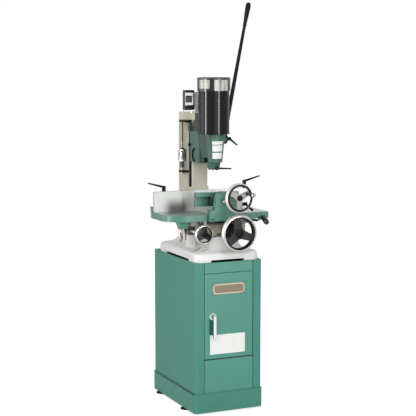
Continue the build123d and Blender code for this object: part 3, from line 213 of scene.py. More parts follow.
def union(tree, mask, *others):
    """1 where any mask is 1."""
    for other in others:
        mask = combine(tree, "MAXIMUM", mask, other)
    return mask


def outside(tree, mask):
    """1 where a mask is 0."""
    return combine(tree, "SUBTRACT", 1.0, mask)


def blend_colour(tree, factor, first, second):
    """A colour socket between two colours or colour sockets."""
    node = add(tree, "ShaderNodeMix", data_type="RGBA")
    # The node's other sockets are for other types of data.
    factor_in, first_in, second_in = (node.inputs[i] for i in (0, 6, 7))
    tree.links.new(factor, factor_in)
    for socket, colour in ((first_in, first), (second_in, second)):
        if isinstance(colour, bpy.types.NodeSocket):
            tree.links.new(colour, socket)
        else:
            socket.default_value = (*colour, 1)
    return node.outputs[2]


def bump(tree, bsdf, height, strength, distance):
    node = add(tree, "ShaderNodeBump", Strength=strength, Distance=distance)
    tree.links.new(height, node.inputs["Height"])
    tree.links.new(node.outputs["Normal"], bsdf.inputs["Normal"])


def axis_value(tree, axis):
    split = add(tree, "ShaderNodeSeparateXYZ")
    tree.links.new(place(tree), split.inputs["Vector"])
    return split.outputs[axis]


def radius_value(tree, axis):
    """The distance from an axis."""
    across = tuple(0 if c is None else 1 for c in axis)
    shifted = add(tree, "ShaderNodeVectorMath", operation="SUBTRACT")
    tree.links.new(place(tree, across), shifted.inputs[0])
    shifted.inputs[1].default_value = tuple((c or 0) * MM for c in axis)
    length = add(tree, "ShaderNodeVectorMath", operation="LENGTH")
    tree.links.new(shifted.outputs["Vector"], length.inputs[0])
    return length.outputs["Value"]


def rise(tree, value, span, low=0, high=1, smooth=True):
    """A mask that goes from one level to another over a span."""
    start, end = (edge * MM for edge in span)
    return map_range(tree, value, start, end, low, high, smooth)


def fade(tree, value, span, smooth=True):
    """1 before a span and 0 past it."""
    return rise(tree, value, span, 1, 0, smooth)


def step_mask(tree, value, edge, width=EDGE_WIDTH):
    """0 below the edge and 1 above it."""
    return rise(tree, value, (edge - width / 2, edge + width / 2))


def between(tree, value, span, width=EDGE_WIDTH):
    """1 inside a span and 0 outside it."""
    start, end = (step_mask(tree, value, edge, width) for edge in span)
    return combine(tree, "SUBTRACT", start, end)


# Materials


def shade(colour, factor):
    return tuple(c * factor for c in colour)


def mottle(tree, tone, colour, dark, light):
    """A colour that wanders between a darker and a lighter shade of itself."""
    return blend_colour(tree, tone, shade(colour, dark), shade(colour, light))


def paint_of(mat):
    """A finished material's tree, its colour socket and what feeds that socket."""
    socket = mat.node_tree.nodes["Principled BSDF"].inputs["Base Color"]
    return mat.node_tree, socket, socket.links[0].from_socket


def shade_hollows(mat, reach, low):
    """Add painted shade that darkens the hollows of a painted casting."""
    tree, socket, paint = paint_of(mat)
    hollow = add(tree, "ShaderNodeAmbientOcclusion", Distance=reach, samples=8)
    share = map_range(tree, hollow.outputs["AO"], 0.3, 0.95, low, 1.0, smooth=True)
    darker = add(tree, "ShaderNodeVectorMath", operation="SCALE")
    tree.links.new(paint, darker.inputs["Vector"])
    tree.links.new(share, darker.inputs["Scale"])
    tree.links.new(darker.outputs["Vector"], socket)


def lighten_up_faces(mat, lit_colour):
    """Paint the faces that look up paler: painted light falling from above."""
    tree, socket, paint = paint_of(mat)
    facing = add(tree, "ShaderNodeNewGeometry")
    split = add(tree, "ShaderNodeSeparateXYZ")
    tree.links.new(facing.outputs["True Normal"], split.inputs["Vector"])
    facing_up = map_range(tree, split.outputs["Z"], 0.05, 0.5, 0, 1, smooth=True)
    tree.links.new(blend_colour(tree, facing_up, paint, lit_colour), socket)


def overlay(mat, mask_maker, colour):
    """Add a second colour over a finished paint, where a mask lets it through."""
    tree, socket, paint = paint_of(mat)
    tree.links.new(blend_colour(tree, mask_maker(tree), paint, colour), socket)


def enamel(name, colour, roughness, specular, peel=0.05, coat=0.0):
    """Sprayed enamel: a little uneven in tone and gloss, with a fine orange peel."""
    mat, tree, bsdf = new_material(name, colour, roughness, specular=specular)
    bsdf.inputs["Coat Weight"].default_value = coat
    bsdf.inputs["Coat Roughness"].default_value = 0.12
    tree.links.new(mottle(tree, noise(tree, 6.0), colour, 0.93, 1.05), bsdf.inputs["Base Color"])
    gloss = spread(tree, noise(tree, 40.0), roughness - 0.05, roughness + 0.06)
    tree.links.new(gloss, bsdf.inputs["Roughness"])
    bump(tree, bsdf, noise(tree, 900.0, 1.0), peel, 0.0006)
    return mat


def casting(name, colour, roughness, grain):
    """Painted or bare cast iron with a sandy skin."""
    mat, tree, bsdf = new_material(name, colour, roughness, specular=0.4)
    tone = noise(tree, 14.0, 6.0)
    speck = spread(tree, noise(tree, 260.0, 5.0), 0.0, 1.0)
    tint = mottle(tree, tone, colour, 0.88, 1.08)
    specked = blend_colour(tree, product(tree, speck, 0.3 * grain), tint, shade(colour, 0.6))
    tree.links.new(specked, bsdf.inputs["Base Color"])
    tree.links.new(spread(tree, tone, roughness - 0.06, roughness + 0.06), bsdf.inputs["Roughness"])
    bump(tree, bsdf, noise(tree, 420.0, 4.0), grain, 0.0012)
    return mat


def machined(name, colour, roughness, stretch, metallic=1.0):
    """Turned, ground or brushed metal with fine marks along one direction."""
    mat, tree, bsdf = new_material(name, colour, roughness, metallic)
    marks = noise(tree, 260.0, 4.0, stretch)
    tree.links.new(spread(tree, marks, roughness - 0.07, roughness + 0.09), bsdf.inputs["Roughness"])
    tree.links.new(mottle(tree, marks, colour, 0.9, 1.04), bsdf.inputs["Base Color"])
    bump(tree, bsdf, marks, 0.06, 0.0005)
    return mat


def polished(name, colour, roughness):
    """Bright plating with faint wipe marks in its gloss."""
    mat, tree, bsdf = new_material(name, colour, roughness, metallic=1.0)
    gloss = spread(tree, noise(tree, 55.0, 5.0), roughness, roughness + 0.06)
    tree.links.new(gloss, bsdf.inputs["Roughness"])
    return mat


def foil(name, dark, light):
    """A thin metal foil label, not quite flat: its gloss is streaked top to bottom, and its colour has
    painted reflections.
    """
    mat, tree, bsdf = new_material(name, light, 0.45, specular=0.08)
    gloss_and_reflection_streaks = noise(tree, 60.0, 3.0, STREAKS_UP)
    bright = map_range(tree, gloss_and_reflection_streaks, 0.36, 0.56, 0, 1, smooth=True)
    # Painted reflection: light and dark streaks in the colour.
    tree.links.new(blend_colour(tree, bright, dark, light), bsdf.inputs["Base Color"])
    tree.links.new(spread(tree, gloss_and_reflection_streaks, 0.55, 0.38), bsdf.inputs["Roughness"])
    bump(tree, bsdf, noise(tree, 300.0, 3.0, BRUSHED_UP), 0.05, 0.0004)
    return mat


def moulded(name, colour, roughness, grain, specular):
    """Plastic or rubber with a spark-eroded grain."""
    mat, tree, bsdf = new_material(name, colour, roughness, specular=specular)
    tree.links.new(mottle(tree, noise(tree, 25.0), colour, 0.92, 1.06), bsdf.inputs["Base Color"])
    gloss = spread(tree, noise(tree, 70.0), roughness - 0.05, roughness + 0.08)
    tree.links.new(gloss, bsdf.inputs["Roughness"])
    bump(tree, bsdf, noise(tree, 1500.0, 2.0), grain, 0.0004)
    return mat


def two_tone(name, mask_maker, inner, outer, grain=0.05, specular=0.35):
    """Two finishes on one piece, parted by a mask: the inner one where it is 0."""
    mat, tree, bsdf = new_material(name, *outer, specular)
    mask = mask_maker(tree)
    tone = noise(tree, 12.0, 4.0)
    low = mottle(tree, tone, inner[0], 0.92, 1.06)
    high = mottle(tree, tone, outer[0], 0.94, 1.04)
    tree.links.new(blend_colour(tree, mask, low, high), bsdf.inputs["Base Color"])
    for socket, start, end in zip(("Roughness", "Metallic"), inner[1:], outer[1:]):
        if start != end:
            tree.links.new(map_range(tree, mask, 0, 1, start, end), bsdf.inputs[socket])
    bump(tree, bsdf, noise(tree, 700.0, 2.0), grain, 0.0005)
    return mat


def wheel_finish(name, axis, rim_radius):
    """A plated rim round a black web and hub."""

    def rim(tree):
        return step_mask(tree, radius_value(tree, axis), rim_radius, RIM_EDGE)

    return two_tone(name, rim, BLACK_PAINT, PLATED_RIM, grain=0.015, specular=0.14)


def vise_wheel_paint():
    """The vise wheel: satin spokes in a bright rim, with a black ring round its front painted as a dark
    reflection.
    """
    mat, tree, bsdf = new_material("vise_wheel_finish", BLACK, 0.34, metallic=0.1, specular=0.14)
    behind = step_mask(tree, axis_value(tree, "Y"), VISE_RING_Y)
    rim = step_mask(tree, radius_value(tree, VISE_AXIS), VISE_RIM_R, VISE_RIM_EDGE)
    tone = noise(tree, 18.0, 4.0)
    bright = blend_colour(tree, rim, blend_colour(tree, tone, *SPOKE_GREY), BRIGHT_RIM)
    # Painted reflection: the front of the rim is black.
    tree.links.new(blend_colour(tree, behind, BLACK_PAINT[0], bright), bsdf.inputs["Base Color"])
    tree.links.new(spread(tree, tone, 0.28, 0.40), bsdf.inputs["Roughness"])
    bump(tree, bsdf, noise(tree, 700.0, 2.0), 0.05, 0.0005)
    return mat


def table_paint():
    """The table: rough rails below, green sides and a ground top, with painted light on the top under the
    jaw.
    """
    mat, tree, bsdf = new_material("table_with_lit_patch", CAST_GREEN, 0.36, specular=0.25)
    side, depth, height = (axis_value(tree, axis) for axis in "XYZ")
    top = step_mask(tree, height, TABLE_TOP_Z)
    low = outside(tree, step_mask(tree, height, RAIL_TOP_Z))
    rails = product(tree, low, step_mask(tree, side, RAIL_END_X))
    # Painted light: a bright patch on the ground top under the jaw.
    lit_patch = product(tree, between(tree, side, LIT_PATCH_X, LIT_PATCH_FADE), between(tree, depth, LIT_PATCH_Y, LIT_PATCH_FADE))
    marks = noise(tree, 240.0, 4.0, BRUSHED_ACROSS)
    skin = noise(tree, 14.0, 5.0)
    paint = mottle(tree, skin, CAST_GREEN, 0.92, 1.06)
    sides = blend_colour(tree, rails, paint, blend_colour(tree, skin, *RAIL_IRON))
    ground = blend_colour(tree, lit_patch, blend_colour(tree, marks, *GROUND_IRON), LIT_PATCH_IRON)
    tree.links.new(blend_colour(tree, top, sides, ground), bsdf.inputs["Base Color"])
    bare = combine(tree, "SUBTRACT", top, product(tree, lit_patch, top))
    tree.links.new(bare, bsdf.inputs["Metallic"])
    tree.links.new(spread(tree, marks, 0.28, 0.42), bsdf.inputs["Roughness"])
    bump(tree, bsdf, noise(tree, 600.0, 3.0), 0.08, 0.0006)
    return mat


def column_paint():
    """Beige enamel on the column; the slideway in the groove beside it is oiled bare iron, painted near
    black as shade.
    """
    mat, tree, bsdf = new_material("column_finish", BEIGE, 0.45, specular=0.2)
    inside = between(tree, axis_value(tree, "Y"), GROOVE_Y)
    groove = product(tree, inside, step_mask(tree, axis_value(tree, "Z"), GROOVE_FOOT_Z))
    tone = noise(tree, 14.0, 5.0)
    paint = mottle(tree, tone, BEIGE, 0.92, 1.06)
    # Partly painted shade: the slideway in the groove is near black.
    tree.links.new(blend_colour(tree, groove, paint, GROOVE_OIL_AND_SHADE), bsdf.inputs["Base Color"])
    tree.links.new(spread(tree, tone, 0.40, 0.52), bsdf.inputs["Roughness"])
    bump(tree, bsdf, noise(tree, 500.0, 4.0), 0.14, 0.001)
    return mat


# Masks for overlays, most of them painted shade or painted light, and for two-tone finishes


def past(axis, edge, width=EDGE_WIDTH):
    """The maker of a mask that is 1 past an edge on one axis."""
    return lambda tree: step_mask(tree, axis_value(tree, axis), edge, width)


def handle_front(tree):
    """The front end of the vise wheel's handle."""
    return outside(tree, step_mask(tree, axis_value(tree, "Y"), HANDLE_RING_Y))


def seam_shade(tree):
    """The folds inside the front's seams and two edges of the door, painted dark as the shade in the
    seams.
    """
    folds = between(tree, axis_value(tree, "Y"), SEAM_Y)
    height = axis_value(tree, "Z")
    sill = between(tree, height, DOOR_EDGE_Z)
    beside = step_mask(tree, axis_value(tree, "X"), DOOR_EDGE_X)
    lock_side = product(tree, beside, step_mask(tree, height, DOOR_EDGE_Z[1]))
    return union(tree, folds, sill, lock_side)


def planed_way(tree):
    """The dovetail on the base's top, in front of the column."""
    front = outside(tree, step_mask(tree, axis_value(tree, "Y"), WAY_END_Y))
    return product(tree, step_mask(tree, axis_value(tree, "Z"), WAY_FOOT_Z), front)


def plinth_edge_shade(tree):
    """The upper edge of the plinth's left side, painted dark as the shade in the gap between plinth and
    panel.
    """
    left = outside(tree, step_mask(tree, axis_value(tree, "X"), PLINTH_SIDE_X))
    return product(tree, step_mask(tree, axis_value(tree, "Z"), PLINTH_EDGE_Z), left)


def shade_under_base(tree):
    """The cabinet's top under the base, seen only through the slots, painted black as the shade in them.
    """
    top = step_mask(tree, axis_value(tree, "Z"), CABINET_TOP_Z)
    sides = (between(tree, axis_value(tree, axis), span) for axis, span in (("X", BASE_X), ("Y", BASE_Y)))
    return product(tree, top, *sides)


def fence_shadow(tree):
    """A soft painted shadow low on the fence's face."""
    along = axis_value(tree, "X")
    ends = product(tree, rise(tree, along, SHADOW_LEFT_X), fade(tree, along, SHADOW_RIGHT_X))
    low = fade(tree, axis_value(tree, "Z"), SHADOW_Z)
    face = fade(tree, axis_value(tree, "Y"), FENCE_FACE_Y, smooth=False)
    return product(tree, ends, low, face)


def flank_shade(tree):
    """The left flank of the head's nose below the motor, painted darker as the shade under the motor."""
    front = fade(tree, axis_value(tree, "Y"), FLANK_Y)
    below = fade(tree, axis_value(tree, "Z"), FLANK_Z, smooth=False)
    return product(tree, fade(tree, axis_value(tree, "X"), FLANK_X), front, below)


def hollow_shade(tree):
    """The rear edge of the round pocket in the head's flank and the notch behind its nose: painted shade.
    """
    side, depth, height = (axis_value(tree, axis) for axis in "XYZ")
    radius = radius_value(tree, POCKET_AXIS)
    edge = step_mask(tree, radius, POCKET_EDGE_R)
    inside = fade(tree, radius, POCKET_R, smooth=False)
    arc = product(tree, edge, inside, step_mask(tree, depth, POCKET_REAR_Y))
    notch = product(tree, between(tree, depth, NOTCH_Y), fade(tree, height, NOTCH_Z, smooth=False))
    return product(tree, fade(tree, side, NOTCH_X, smooth=False), union(tree, arc, notch))


green = enamel("green_enamel", shade(GREEN, 0.96), roughness=0.42, specular=0.07)
# Painted shade: black on the cabinet's top under the base.
overlay(green, shade_under_base, BLACK)
plinth_green = enamel("plinth_enamel", shade(GREEN, 0.90), roughness=0.44, specular=0.1)
# Painted shade: a dark line along the top of the plinth's left side.
overlay(plinth_green, plinth_edge_shade, shade(GREEN, 0.2))
front_green = enamel("front_enamel", GREEN, roughness=0.42, specular=0.2)
# Painted shade: the front's seams and two door edges are painted dark.
overlay(front_green, seam_shade, shade(GREEN, 0.08))
# Painted shade: black on the cabinet's top under the base.
overlay(front_green, shade_under_base, BLACK)
cast_green = enamel("green_casting_enamel", CAST_GREEN, roughness=0.38, specular=0.3, peel=0.12)
# Painted shade: the hollows of the green castings are darkened.
shade_hollows(cast_green, reach=0.08, low=0.06)
# Painted shade: the base's ridges are dark grey, as creases.
ridge_shade = casting("ridge_crease_shade", RIDGE_SHADE_GREY, roughness=0.5, grain=0.3)
# Painted shade: the sheet's dark green stands for the recess beside the handle.
recess_shade_green = enamel("handle_recess_shade", RECESS_SHADE_GREEN, roughness=0.35, specular=0.25)
nose_green = enamel("nose_enamel", NOSE_GREEN, roughness=0.40, specular=0.12, peel=0.1)
# Painted shade: the hollows round the nose are darkened.
shade_hollows(nose_green, reach=0.04, low=0.4)
white_cast = casting("pale_grey_enamel", WHITE, roughness=0.5, grain=0.3)
# Painted light: the base's faces that look up are painted paler.
lighten_up_faces(white_cast, TOP_LIGHT_WHITE)
overlay(white_cast, planed_way, WAY_GREY)
# Painted light: the upright above the cap is painted paler than the cap.
cap_paint_and_light = two_tone("cap_paint_and_light", past("Z", CAP_TOP_Z), CAP_SIDE, CAP_UPRIGHT_LIT, grain=0.12)
raw_cast = casting("raw_cast_iron", RAW_IRON, roughness=0.62, grain=0.7)
ground_iron = two_tone("ground_iron", past("X", FENCE_MIDDLE_X, FENCE_FADE), FENCE_LEFT, FENCE_RIGHT)
# Painted shadow: a soft dark patch low on the fence's face.
overlay(ground_iron, fence_shadow, FENCE_SHADOW_GREY)
black = enamel("black_enamel", BLACK, roughness=0.36, specular=0.05)
motor_black = enamel(
    "gloss_black_enamel", GLOSS_BLACK, roughness=0.33, specular=0.03, peel=0.002, coat=0.26
)
head_paint_and_shade = two_tone("head_paint_and_shade", past("Z", HEAD_TOP_Z), HEAD_PAINT, HEAD_TOP_PAINT, specular=0.16)
# Painted shade: the nose's left flank below the motor is darker.
overlay(head_paint_and_shade, flank_shade, FLANK_SHADE_GREEN)
# Painted shade: the pocket's rear edge and the notch are near black.
overlay(head_paint_and_shade, hollow_shade, HOLLOW_SHADE_GREEN)
cover_black = two_tone("fan_cover_finish", past("Z", COVER_TOP_Z), COVER_SIDE, COVER_TOP)
steel = machined("machined_steel", (0.60, 0.60, 0.59), 0.3, MARKS_UP)
dark_steel = machined("blackened_steel", (0.05, 0.05, 0.05), 0.38, MARKS_ACROSS)
post_steel = machined("grey_steel", (0.40, 0.375, 0.35), 0.42, MARKS_UP, metallic=0.4)
rod_steel = machined("oiled_steel", (0.13, 0.115, 0.10), 0.3, MARKS_UP)
chrome = polished("chrome_plate", *CHROME[:2])
bronze = machined("bronze", (0.085, 0.052, 0.036), 0.34, BRUSHED_UP)
rubber = moulded("black_rubber", (0.007, 0.007, 0.007), 0.62, grain=0.5, specular=0.08)
plastic_black = moulded("black_moulding", (0.014, 0.014, 0.015), 0.45, grain=0.25, specular=0.3)
plastic_grey = moulded("grey_moulding", (0.085, 0.085, 0.085), 0.45, grain=0.25, specular=0.4)
knob_black = moulded("gloss_black_moulding", (0.010, 0.010, 0.010), 0.24, grain=0.05, specular=0.35)
copper = machined("winding", (0.40, 0.18, 0.08), 0.4, WINDINGS)
brass = machined("brushed_brass", (0.42, 0.33, 0.23), 0.36, BRUSHED_ACROSS, metallic=0.4)
dark_brass = machined("oxidised_brass", (0.158, 0.114, 0.080), 0.42, BRUSHED_ACROSS, metallic=0.3)
paper = moulded("white_label", (0.92, 0.93, 0.92), 0.45, grain=0.05, specular=0.2)
plate_metal = foil("pale_foil", dark=(0.27, 0.265, 0.245), light=(0.67, 0.655, 0.61))
table_with_lit_patch = table_paint()
column_finish = column_paint()
screw_finish = two_tone(
    "lock_screw_finish", past("Z", LOCK_SCREW_HEAD_Z), LOCK_SCREW_SHANK, LOCK_SCREW_HEAD
)
collar_finish = two_tone("stop_collar_finish", past("Z", COLLAR_RING_Z), BLACK_PAINT, CHROME, grain=0.008)
long_finish = wheel_finish("long_wheel_finish", LONG_AXIS, LONG_RIM_R)
cross_finish = wheel_finish("cross_wheel_finish", CROSS_AXIS, CROSS_RIM_R)
vise_finish = vise_wheel_paint()
handle_finish = two_tone("wheel_handle_finish", handle_front, BLACK_PAINT, DARK_CHROME, grain=0.008)

FINISHES = {
    green: "side_panel_left side_panel_right back_panel",
    plinth_green: "plinth",
    front_green: "front_panels cabinet_door",
    cast_green: "fence_brackets vise_bracket vise_bracket_bolts vise_jaw",
    nose_green: "chisel_holder",
    head_paint_and_shade: "head_casting",
    table_with_lit_patch: "table",
    white_cast: "base_casting",
    column_finish: "column",
    cap_paint_and_light: "column_cap",
    raw_cast: "saddle",
    ground_iron: "fence_plate",
    black: (
        "feed_housing depth_rod_bracket stop_arm fence_lever_left fence_lever_right "
        "vise_lock_lever chisel_lock_lever head_lock_lever feed_lever"
    ),
    motor_black: "motor_can",
    cover_black: "fan_cover",
    steel: (
        "hold_down_bolts column_rack cross_feed_screw feed_shaft table_gib table_rack "
        "vise_screw motor_bearings spindle_rotor chisel_bushing feed_pinion"
    ),
    screw_finish: "table_lock_screw",
    dark_steel: "table_lock_rod drill_chuck",
    rod_steel: "depth_rod",
    post_steel: "table_stop_post",
    chrome: "door_handle vise_guide_rods",
    collar_finish: "depth_collar",
    long_finish: "long_handwheel",
    cross_finish: "cross_handwheel",
    vise_finish: "vise_handwheel",
    handle_finish: "vise_wheel_handle",
    bronze: "stop_lock_lever",
    rubber: "floor_feet lever_grip",
    plastic_black: "switch_box cooling_fan",
    plastic_grey: "switch_rocker",
    knob_black: "table_lock_grip",
    copper: "motor_stator",
}
for material, names in FINISHES.items():
    for name in names.split():
        nodes[name].data.materials.clear()
        nodes[name].data.materials.append(material)


# Mesh helpers


def piece(name, build, material, body):
    """A named piece that rides on a body, built by a function that works in millimetres."""
    mesh = bpy.data.meshes.new(name)
    bm = bmesh.new()
    build(bm)
    bmesh.ops.scale(bm, vec=(MM, MM, MM), verts=bm.verts)
    bmesh.ops.recalc_face_normals(bm, faces=bm.faces)
    bm.to_mesh(mesh)
    bm.free()
    obj = bpy.data.objects.new(name, mesh)
    bpy.context.scene.collection.objects.link(obj)
    mesh.materials.append(material)
    if body:
        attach(obj, body)
    return obj


def add_block(bm, low, high, bevel=0.0):
    """A box between two corners, with its edges rounded by a bevel."""
    made = bmesh.ops.create_cube(bm, size=1.0)["verts"]
    size = Vector(high) - Vector(low)
    middle = (Vector(high) + Vector(low)) / 2
    bmesh.ops.scale(bm, vec=size, verts=made)
    bmesh.ops.translate(bm, vec=middle, verts=made)
    if bevel:
        edges = list({e for v in made for e in v.link_edges})
        bmesh.ops.bevel(bm, geom=edges, offset=bevel, segments=2, affect="EDGES", profile=0.5)


def stand_at(base, axis):
    """The matrix that brings the origin to a base and Z to an axis."""
    turn = Vector(axis).to_track_quat("Z", "Y").to_matrix().to_4x4()
    return Matrix.Translation(Vector(base)) @ turn


def loft(bm, rings):
    """A solid through rings with the same number of vertices, closed at both ends."""
    for low, high in zip(rings, rings[1:]):
        for k in range(len(low)):
            m = (k + 1) % len(low)
            bm.faces.new([low[k], low[m], high[m], high[k]])
    bm.faces.new(rings[0])
    bm.faces.new(rings[-1])


def heading(points, i):
    """The way along a row of points at one of them."""
    return Vector(points[min(i + 1, len(points) - 1)]) - Vector(points[max(i - 1, 0)])


def add_turned(bm, base, axis, profile, sides=24):
    """A body turned about an axis from (radius, height) points, closed where the radius is 0."""
    stand = stand_at(base, axis)
    rings = []
    for r, h in profile:
        count = sides if r else 1
        angles = [2 * pi * i / sides for i in range(count)]
        rings.append([bm.verts.new(stand @ Vector((r * cos(a), r * sin(a), h))) for a in angles])
    for low, high in zip(rings, rings[1:]):
        for i in range(sides):
            j = (i + 1) % sides
            corners = [low[i % len(low)], low[j % len(low)], high[j % len(high)], high[i % len(high)]]
            bm.faces.new(list(dict.fromkeys(corners)))


def cap_screw(bm, base, axis, r, h):
    """A socket-head screw: a cylinder head with a round socket sunk in its top."""
    socket = 0.55 * r
    head = [(0, 0), (r, 0), (r, h - 0.12 * r), (0.88 * r, h), (socket, h)]
    add_turned(bm, base, axis, head + [(socket, 0.4 * h), (0, 0.4 * h)])


def hex_head(bm, base, axis, r, h):
    """A hexagon head on a washer."""
    washer_r, washer_h = 1.3 * r, 0.22 * h
    foot = 0.8 * washer_h
    add_turned(bm, base, axis, [(0, 0), (washer_r, 0), (washer_r, washer_h), (0, washer_h)])
    add_turned(bm, base, axis, [(0, foot), (r, foot), (r, 0.88 * h), (0.82 * r, h), (0, h)], 6)


def pan_head(bm, base, axis, r, h):
    """A low rounded screw head."""
    add_turned(bm, base, axis, [(0, 0), (r, 0), (0.95 * r, 0.5 * h), (0.6 * r, 0.92 * h), (0, h)], 20)


def set_screw(bm, base, axis, r, h):
    """A grub screw that stands out of its lock nut."""
    screw_r, foot = 0.5 * r, 0.4 * h
    add_turned(bm, base, axis, [(0, 0), (r, 0), (r, 0.45 * h), (0.85 * r, 0.5 * h), (0, 0.5 * h)], 6)
    screw = [(0, foot), (screw_r, foot), (screw_r, 0.95 * h), (0.4 * r, h), (0, h)]
    add_turned(bm, base, axis, screw, 16)


def foot_flange(bm, base, axis, r, h):
    """The flared rubber skirt round a floor foot."""
    add_turned(bm, base, axis, [(0, 0), (r, 0), (r, 0.4 * h), (0.84 * r, h), (0, h)], 32)


def add_wrapped_plate(bm, radius_at, angles, heights, thick):
    """A thin plate bent round the spindle's axis; angles count from the front, to the right."""
    steps, sink = 16, 0.05
    (a0, a1), (z0, z1) = angles, heights
    corners = [(z0, -sink), (z0, thick), (z1, thick), (z1, -sink)]
    rings = []
    for i in range(steps + 1):
        a = radians(a0 + (a1 - a0) * i / steps)
        way = Vector((sin(a), -cos(a), 0))
        points = [Vector((0, SPINDLE_Y, z)) + way * (radius_at(z) + off) for z, off in corners]
        rings.append([bm.verts.new(p) for p in points])
    loft(bm, rings)


def add_thread(bm, base, axis, r, depth, pitch, length):
    """A helical ridge along a screw, standing proud of its core."""
    stand = stand_at(base, axis)
    steps = 18
    root, crest = r - 0.1, r + depth
    section = [(root, 0), (crest, 0.3), (crest, 0.5), (root, 0.8)]
    rings = []
    for i in range(int(length / pitch * steps) + 1):
        a = 2 * pi * i / steps
        points = [(q * cos(a), q * sin(a), pitch * (i / steps + share)) for q, share in section]
        rings.append([bm.verts.new(stand @ Vector(p)) for p in points])
    loft(bm, rings)


def add_ridge(bm, points, half, height):
    """A low cast ridge along points on a surface, sharp at both ends."""
    sink, end_share = 1.5, 0.15
    rings = []
    for i, (x, y, z) in enumerate(points):
        ahead = heading(points, i)
        share = end_share if i in (0, len(points) - 1) else 1.0
        side = Vector((-ahead.y, ahead.x, 0)).normalized() * half * share
        foot = Vector((x, y, z - sink))
        top = Vector((x, y, z + height * share))
        rings.append([bm.verts.new(p) for p in (foot - side, top, foot + side)])
    loft(bm, rings)


def add_wire(bm, points, normal, r):
    """A round wire along points that lie in one plane."""
    sides = 10
    angles = [2 * pi * k / sides for k in range(sides)]
    rings = []
    for i, point in enumerate(points):
        across = heading(points, i).normalized().cross(normal)
        rings.append([bm.verts.new(point + (across * cos(a) + normal * sin(a)) * r) for a in angles])
    loft(bm, rings)


# Plates and labels, all bare. Those on the door are given as x, x, z, z.

BADGE, BADGE_T = (-84.0, 82.0, 584.0, 633.0), 1.2
LABEL, LABEL_T = (-100.0, 86.0, 291.0, 386.0), 0.4
# A dark sheet beside the handle, painted as the shade in a recess.
HANDLE_RECESS, HANDLE_RECESS_T = (-104.5, -84.0, 387.5, 466.0), 0.5
MOTOR_PLATES, MOTOR_PLATE_T = (((-84, -39), (1563, 1605)), ((-23, 31), (1553, 1605))), 0.7
NOSE_LABEL_ANGLES, NOSE_LABEL_T = (-32, 34), 0.35
NOSE_LABEL_HEIGHTS = ((1293, 1309), (1259, 1289), (1224, 1253))


def door_plate(x0, x1, z0, z1, thick):
    """A flat plate on the door's face."""
    sink, bevel = 0.02, 0.25 * thick
    return lambda bm: add_block(bm, (x0, DOOR_Y - thick, z0), (x1, DOOR_Y + sink, z1), bevel)


def badge_border(bm):
    """The badge's raised border and the pins in its corners."""
    x0, x1, z0, z1 = BADGE
    rim, proud, sink, bevel = 6.0, 0.9, 0.2, 0.35
    inset, pin_r, pin_h = 11.0, 2.4, 1.2
    bars = [((x0, z0), (x1, z0 + rim)), ((x0, z1 - rim), (x1, z1))]
    bars += [((x0, z0), (x0 + rim, z1)), ((x1 - rim, z0), (x1, z1))]
    for (xa, za), (xb, zb) in bars:
        add_block(bm, (xa, DOOR_Y - BADGE_T - proud, za), (xb, DOOR_Y - sink, zb), bevel)
    for x in (x0 + inset, x1 - inset):
        for z in (z0 + inset, z1 - inset):
            pan_head(bm, (x, DOOR_Y - BADGE_T, z), FRONT, pin_r, pin_h)


def cover_radius(z):
    """The fan cover is a plain cylinder."""
    return COVER_R


def nose_radius(z):
    """The nose tapers from its collar down to its foot."""
    share = (z - NOSE_Z_LOW) / (NOSE_Z_HIGH - NOSE_Z_LOW)
    return NOSE_R_LOW + (NOSE_R_HIGH - NOSE_R_LOW) * share


def wrapped_plate(radius_at, angles, heights, thick):
    """The builder of a plate bent round the fan cover or the nose."""
    return lambda bm: add_wrapped_plate(bm, radius_at, angles, heights, thick)


def switch_plate(bm):
    """A white frame round the switch's recess."""
    x0, x1, z0, z1 = -107.4, -64.0, 1480.0, 1541.0
    left, right, low, high = -105.6, -70.4, 1493.5, 1526.5
    front, back = 15.0, 16.1
    wide_bevel, narrow_bevel = 0.3, 0.1
    add_block(bm, (x0, front, z0), (x1, back, low), wide_bevel)
    add_block(bm, (x0, front, high), (x1, back, z1), wide_bevel)
    add_block(bm, (x0, front, low), (left, back, high), narrow_bevel)
    add_block(bm, (right, front, low), (x1, back, high), narrow_bevel)


piece("door_badge", door_plate(*BADGE, BADGE_T), dark_brass, "door")
piece("door_badge_border", badge_border, brass, "door")
piece("door_label", door_plate(*LABEL, LABEL_T), paper, "door")
# Painted shade: a dark sheet stands for the shaded recess beside the handle.
piece("handle_recess_sheet", door_plate(*HANDLE_RECESS, HANDLE_RECESS_T), recess_shade_green, "door")
for number, (angles, heights) in enumerate(MOTOR_PLATES, 1):
    plate = wrapped_plate(cover_radius, angles, heights, MOTOR_PLATE_T)
    piece(f"motor_plate_{number}", plate, plate_metal, "head")
for number, heights in enumerate(NOSE_LABEL_HEIGHTS, 1):
    plate = wrapped_plate(nose_radius, NOSE_LABEL_ANGLES, heights, NOSE_LABEL_T)
    piece(f"nose_label_{number}", plate, paper, "head")
piece("switch_plate", switch_plate, paper, "stand")


# Threads

VISE_THREADS = ((-303, 60), (-193, 52))
ROD_THREAD_FOOT, ROD_THREAD_LENGTH = 1296, 94


def vise_thread(bm):
    """The vise screw's thread before and behind its nut."""
    x, _, z = VISE_AXIS
    for start, length in VISE_THREADS:
        add_thread(bm, (x, start, z), REAR, r=8, depth=0.25, pitch=5, length=length)


def depth_thread(bm):
    """The thread on the depth rod's upper end."""
    foot = (DEPTH_ROD_X, DEPTH_ROD_Y, ROD_THREAD_FOOT)
    add_thread(bm, foot, UP, r=6, depth=0.2, pitch=2, length=ROD_THREAD_LENGTH)


piece("vise_screw_thread", vise_thread, steel, "vise_drive")
piece("depth_rod_thread", depth_thread, rod_steel, "stand")


# Fasteners


def grid(xs, ys, zs):
    """Every place with one of the given coordinates on each axis."""
    return [(x, y, z) for x in xs for y in ys for z in zs]


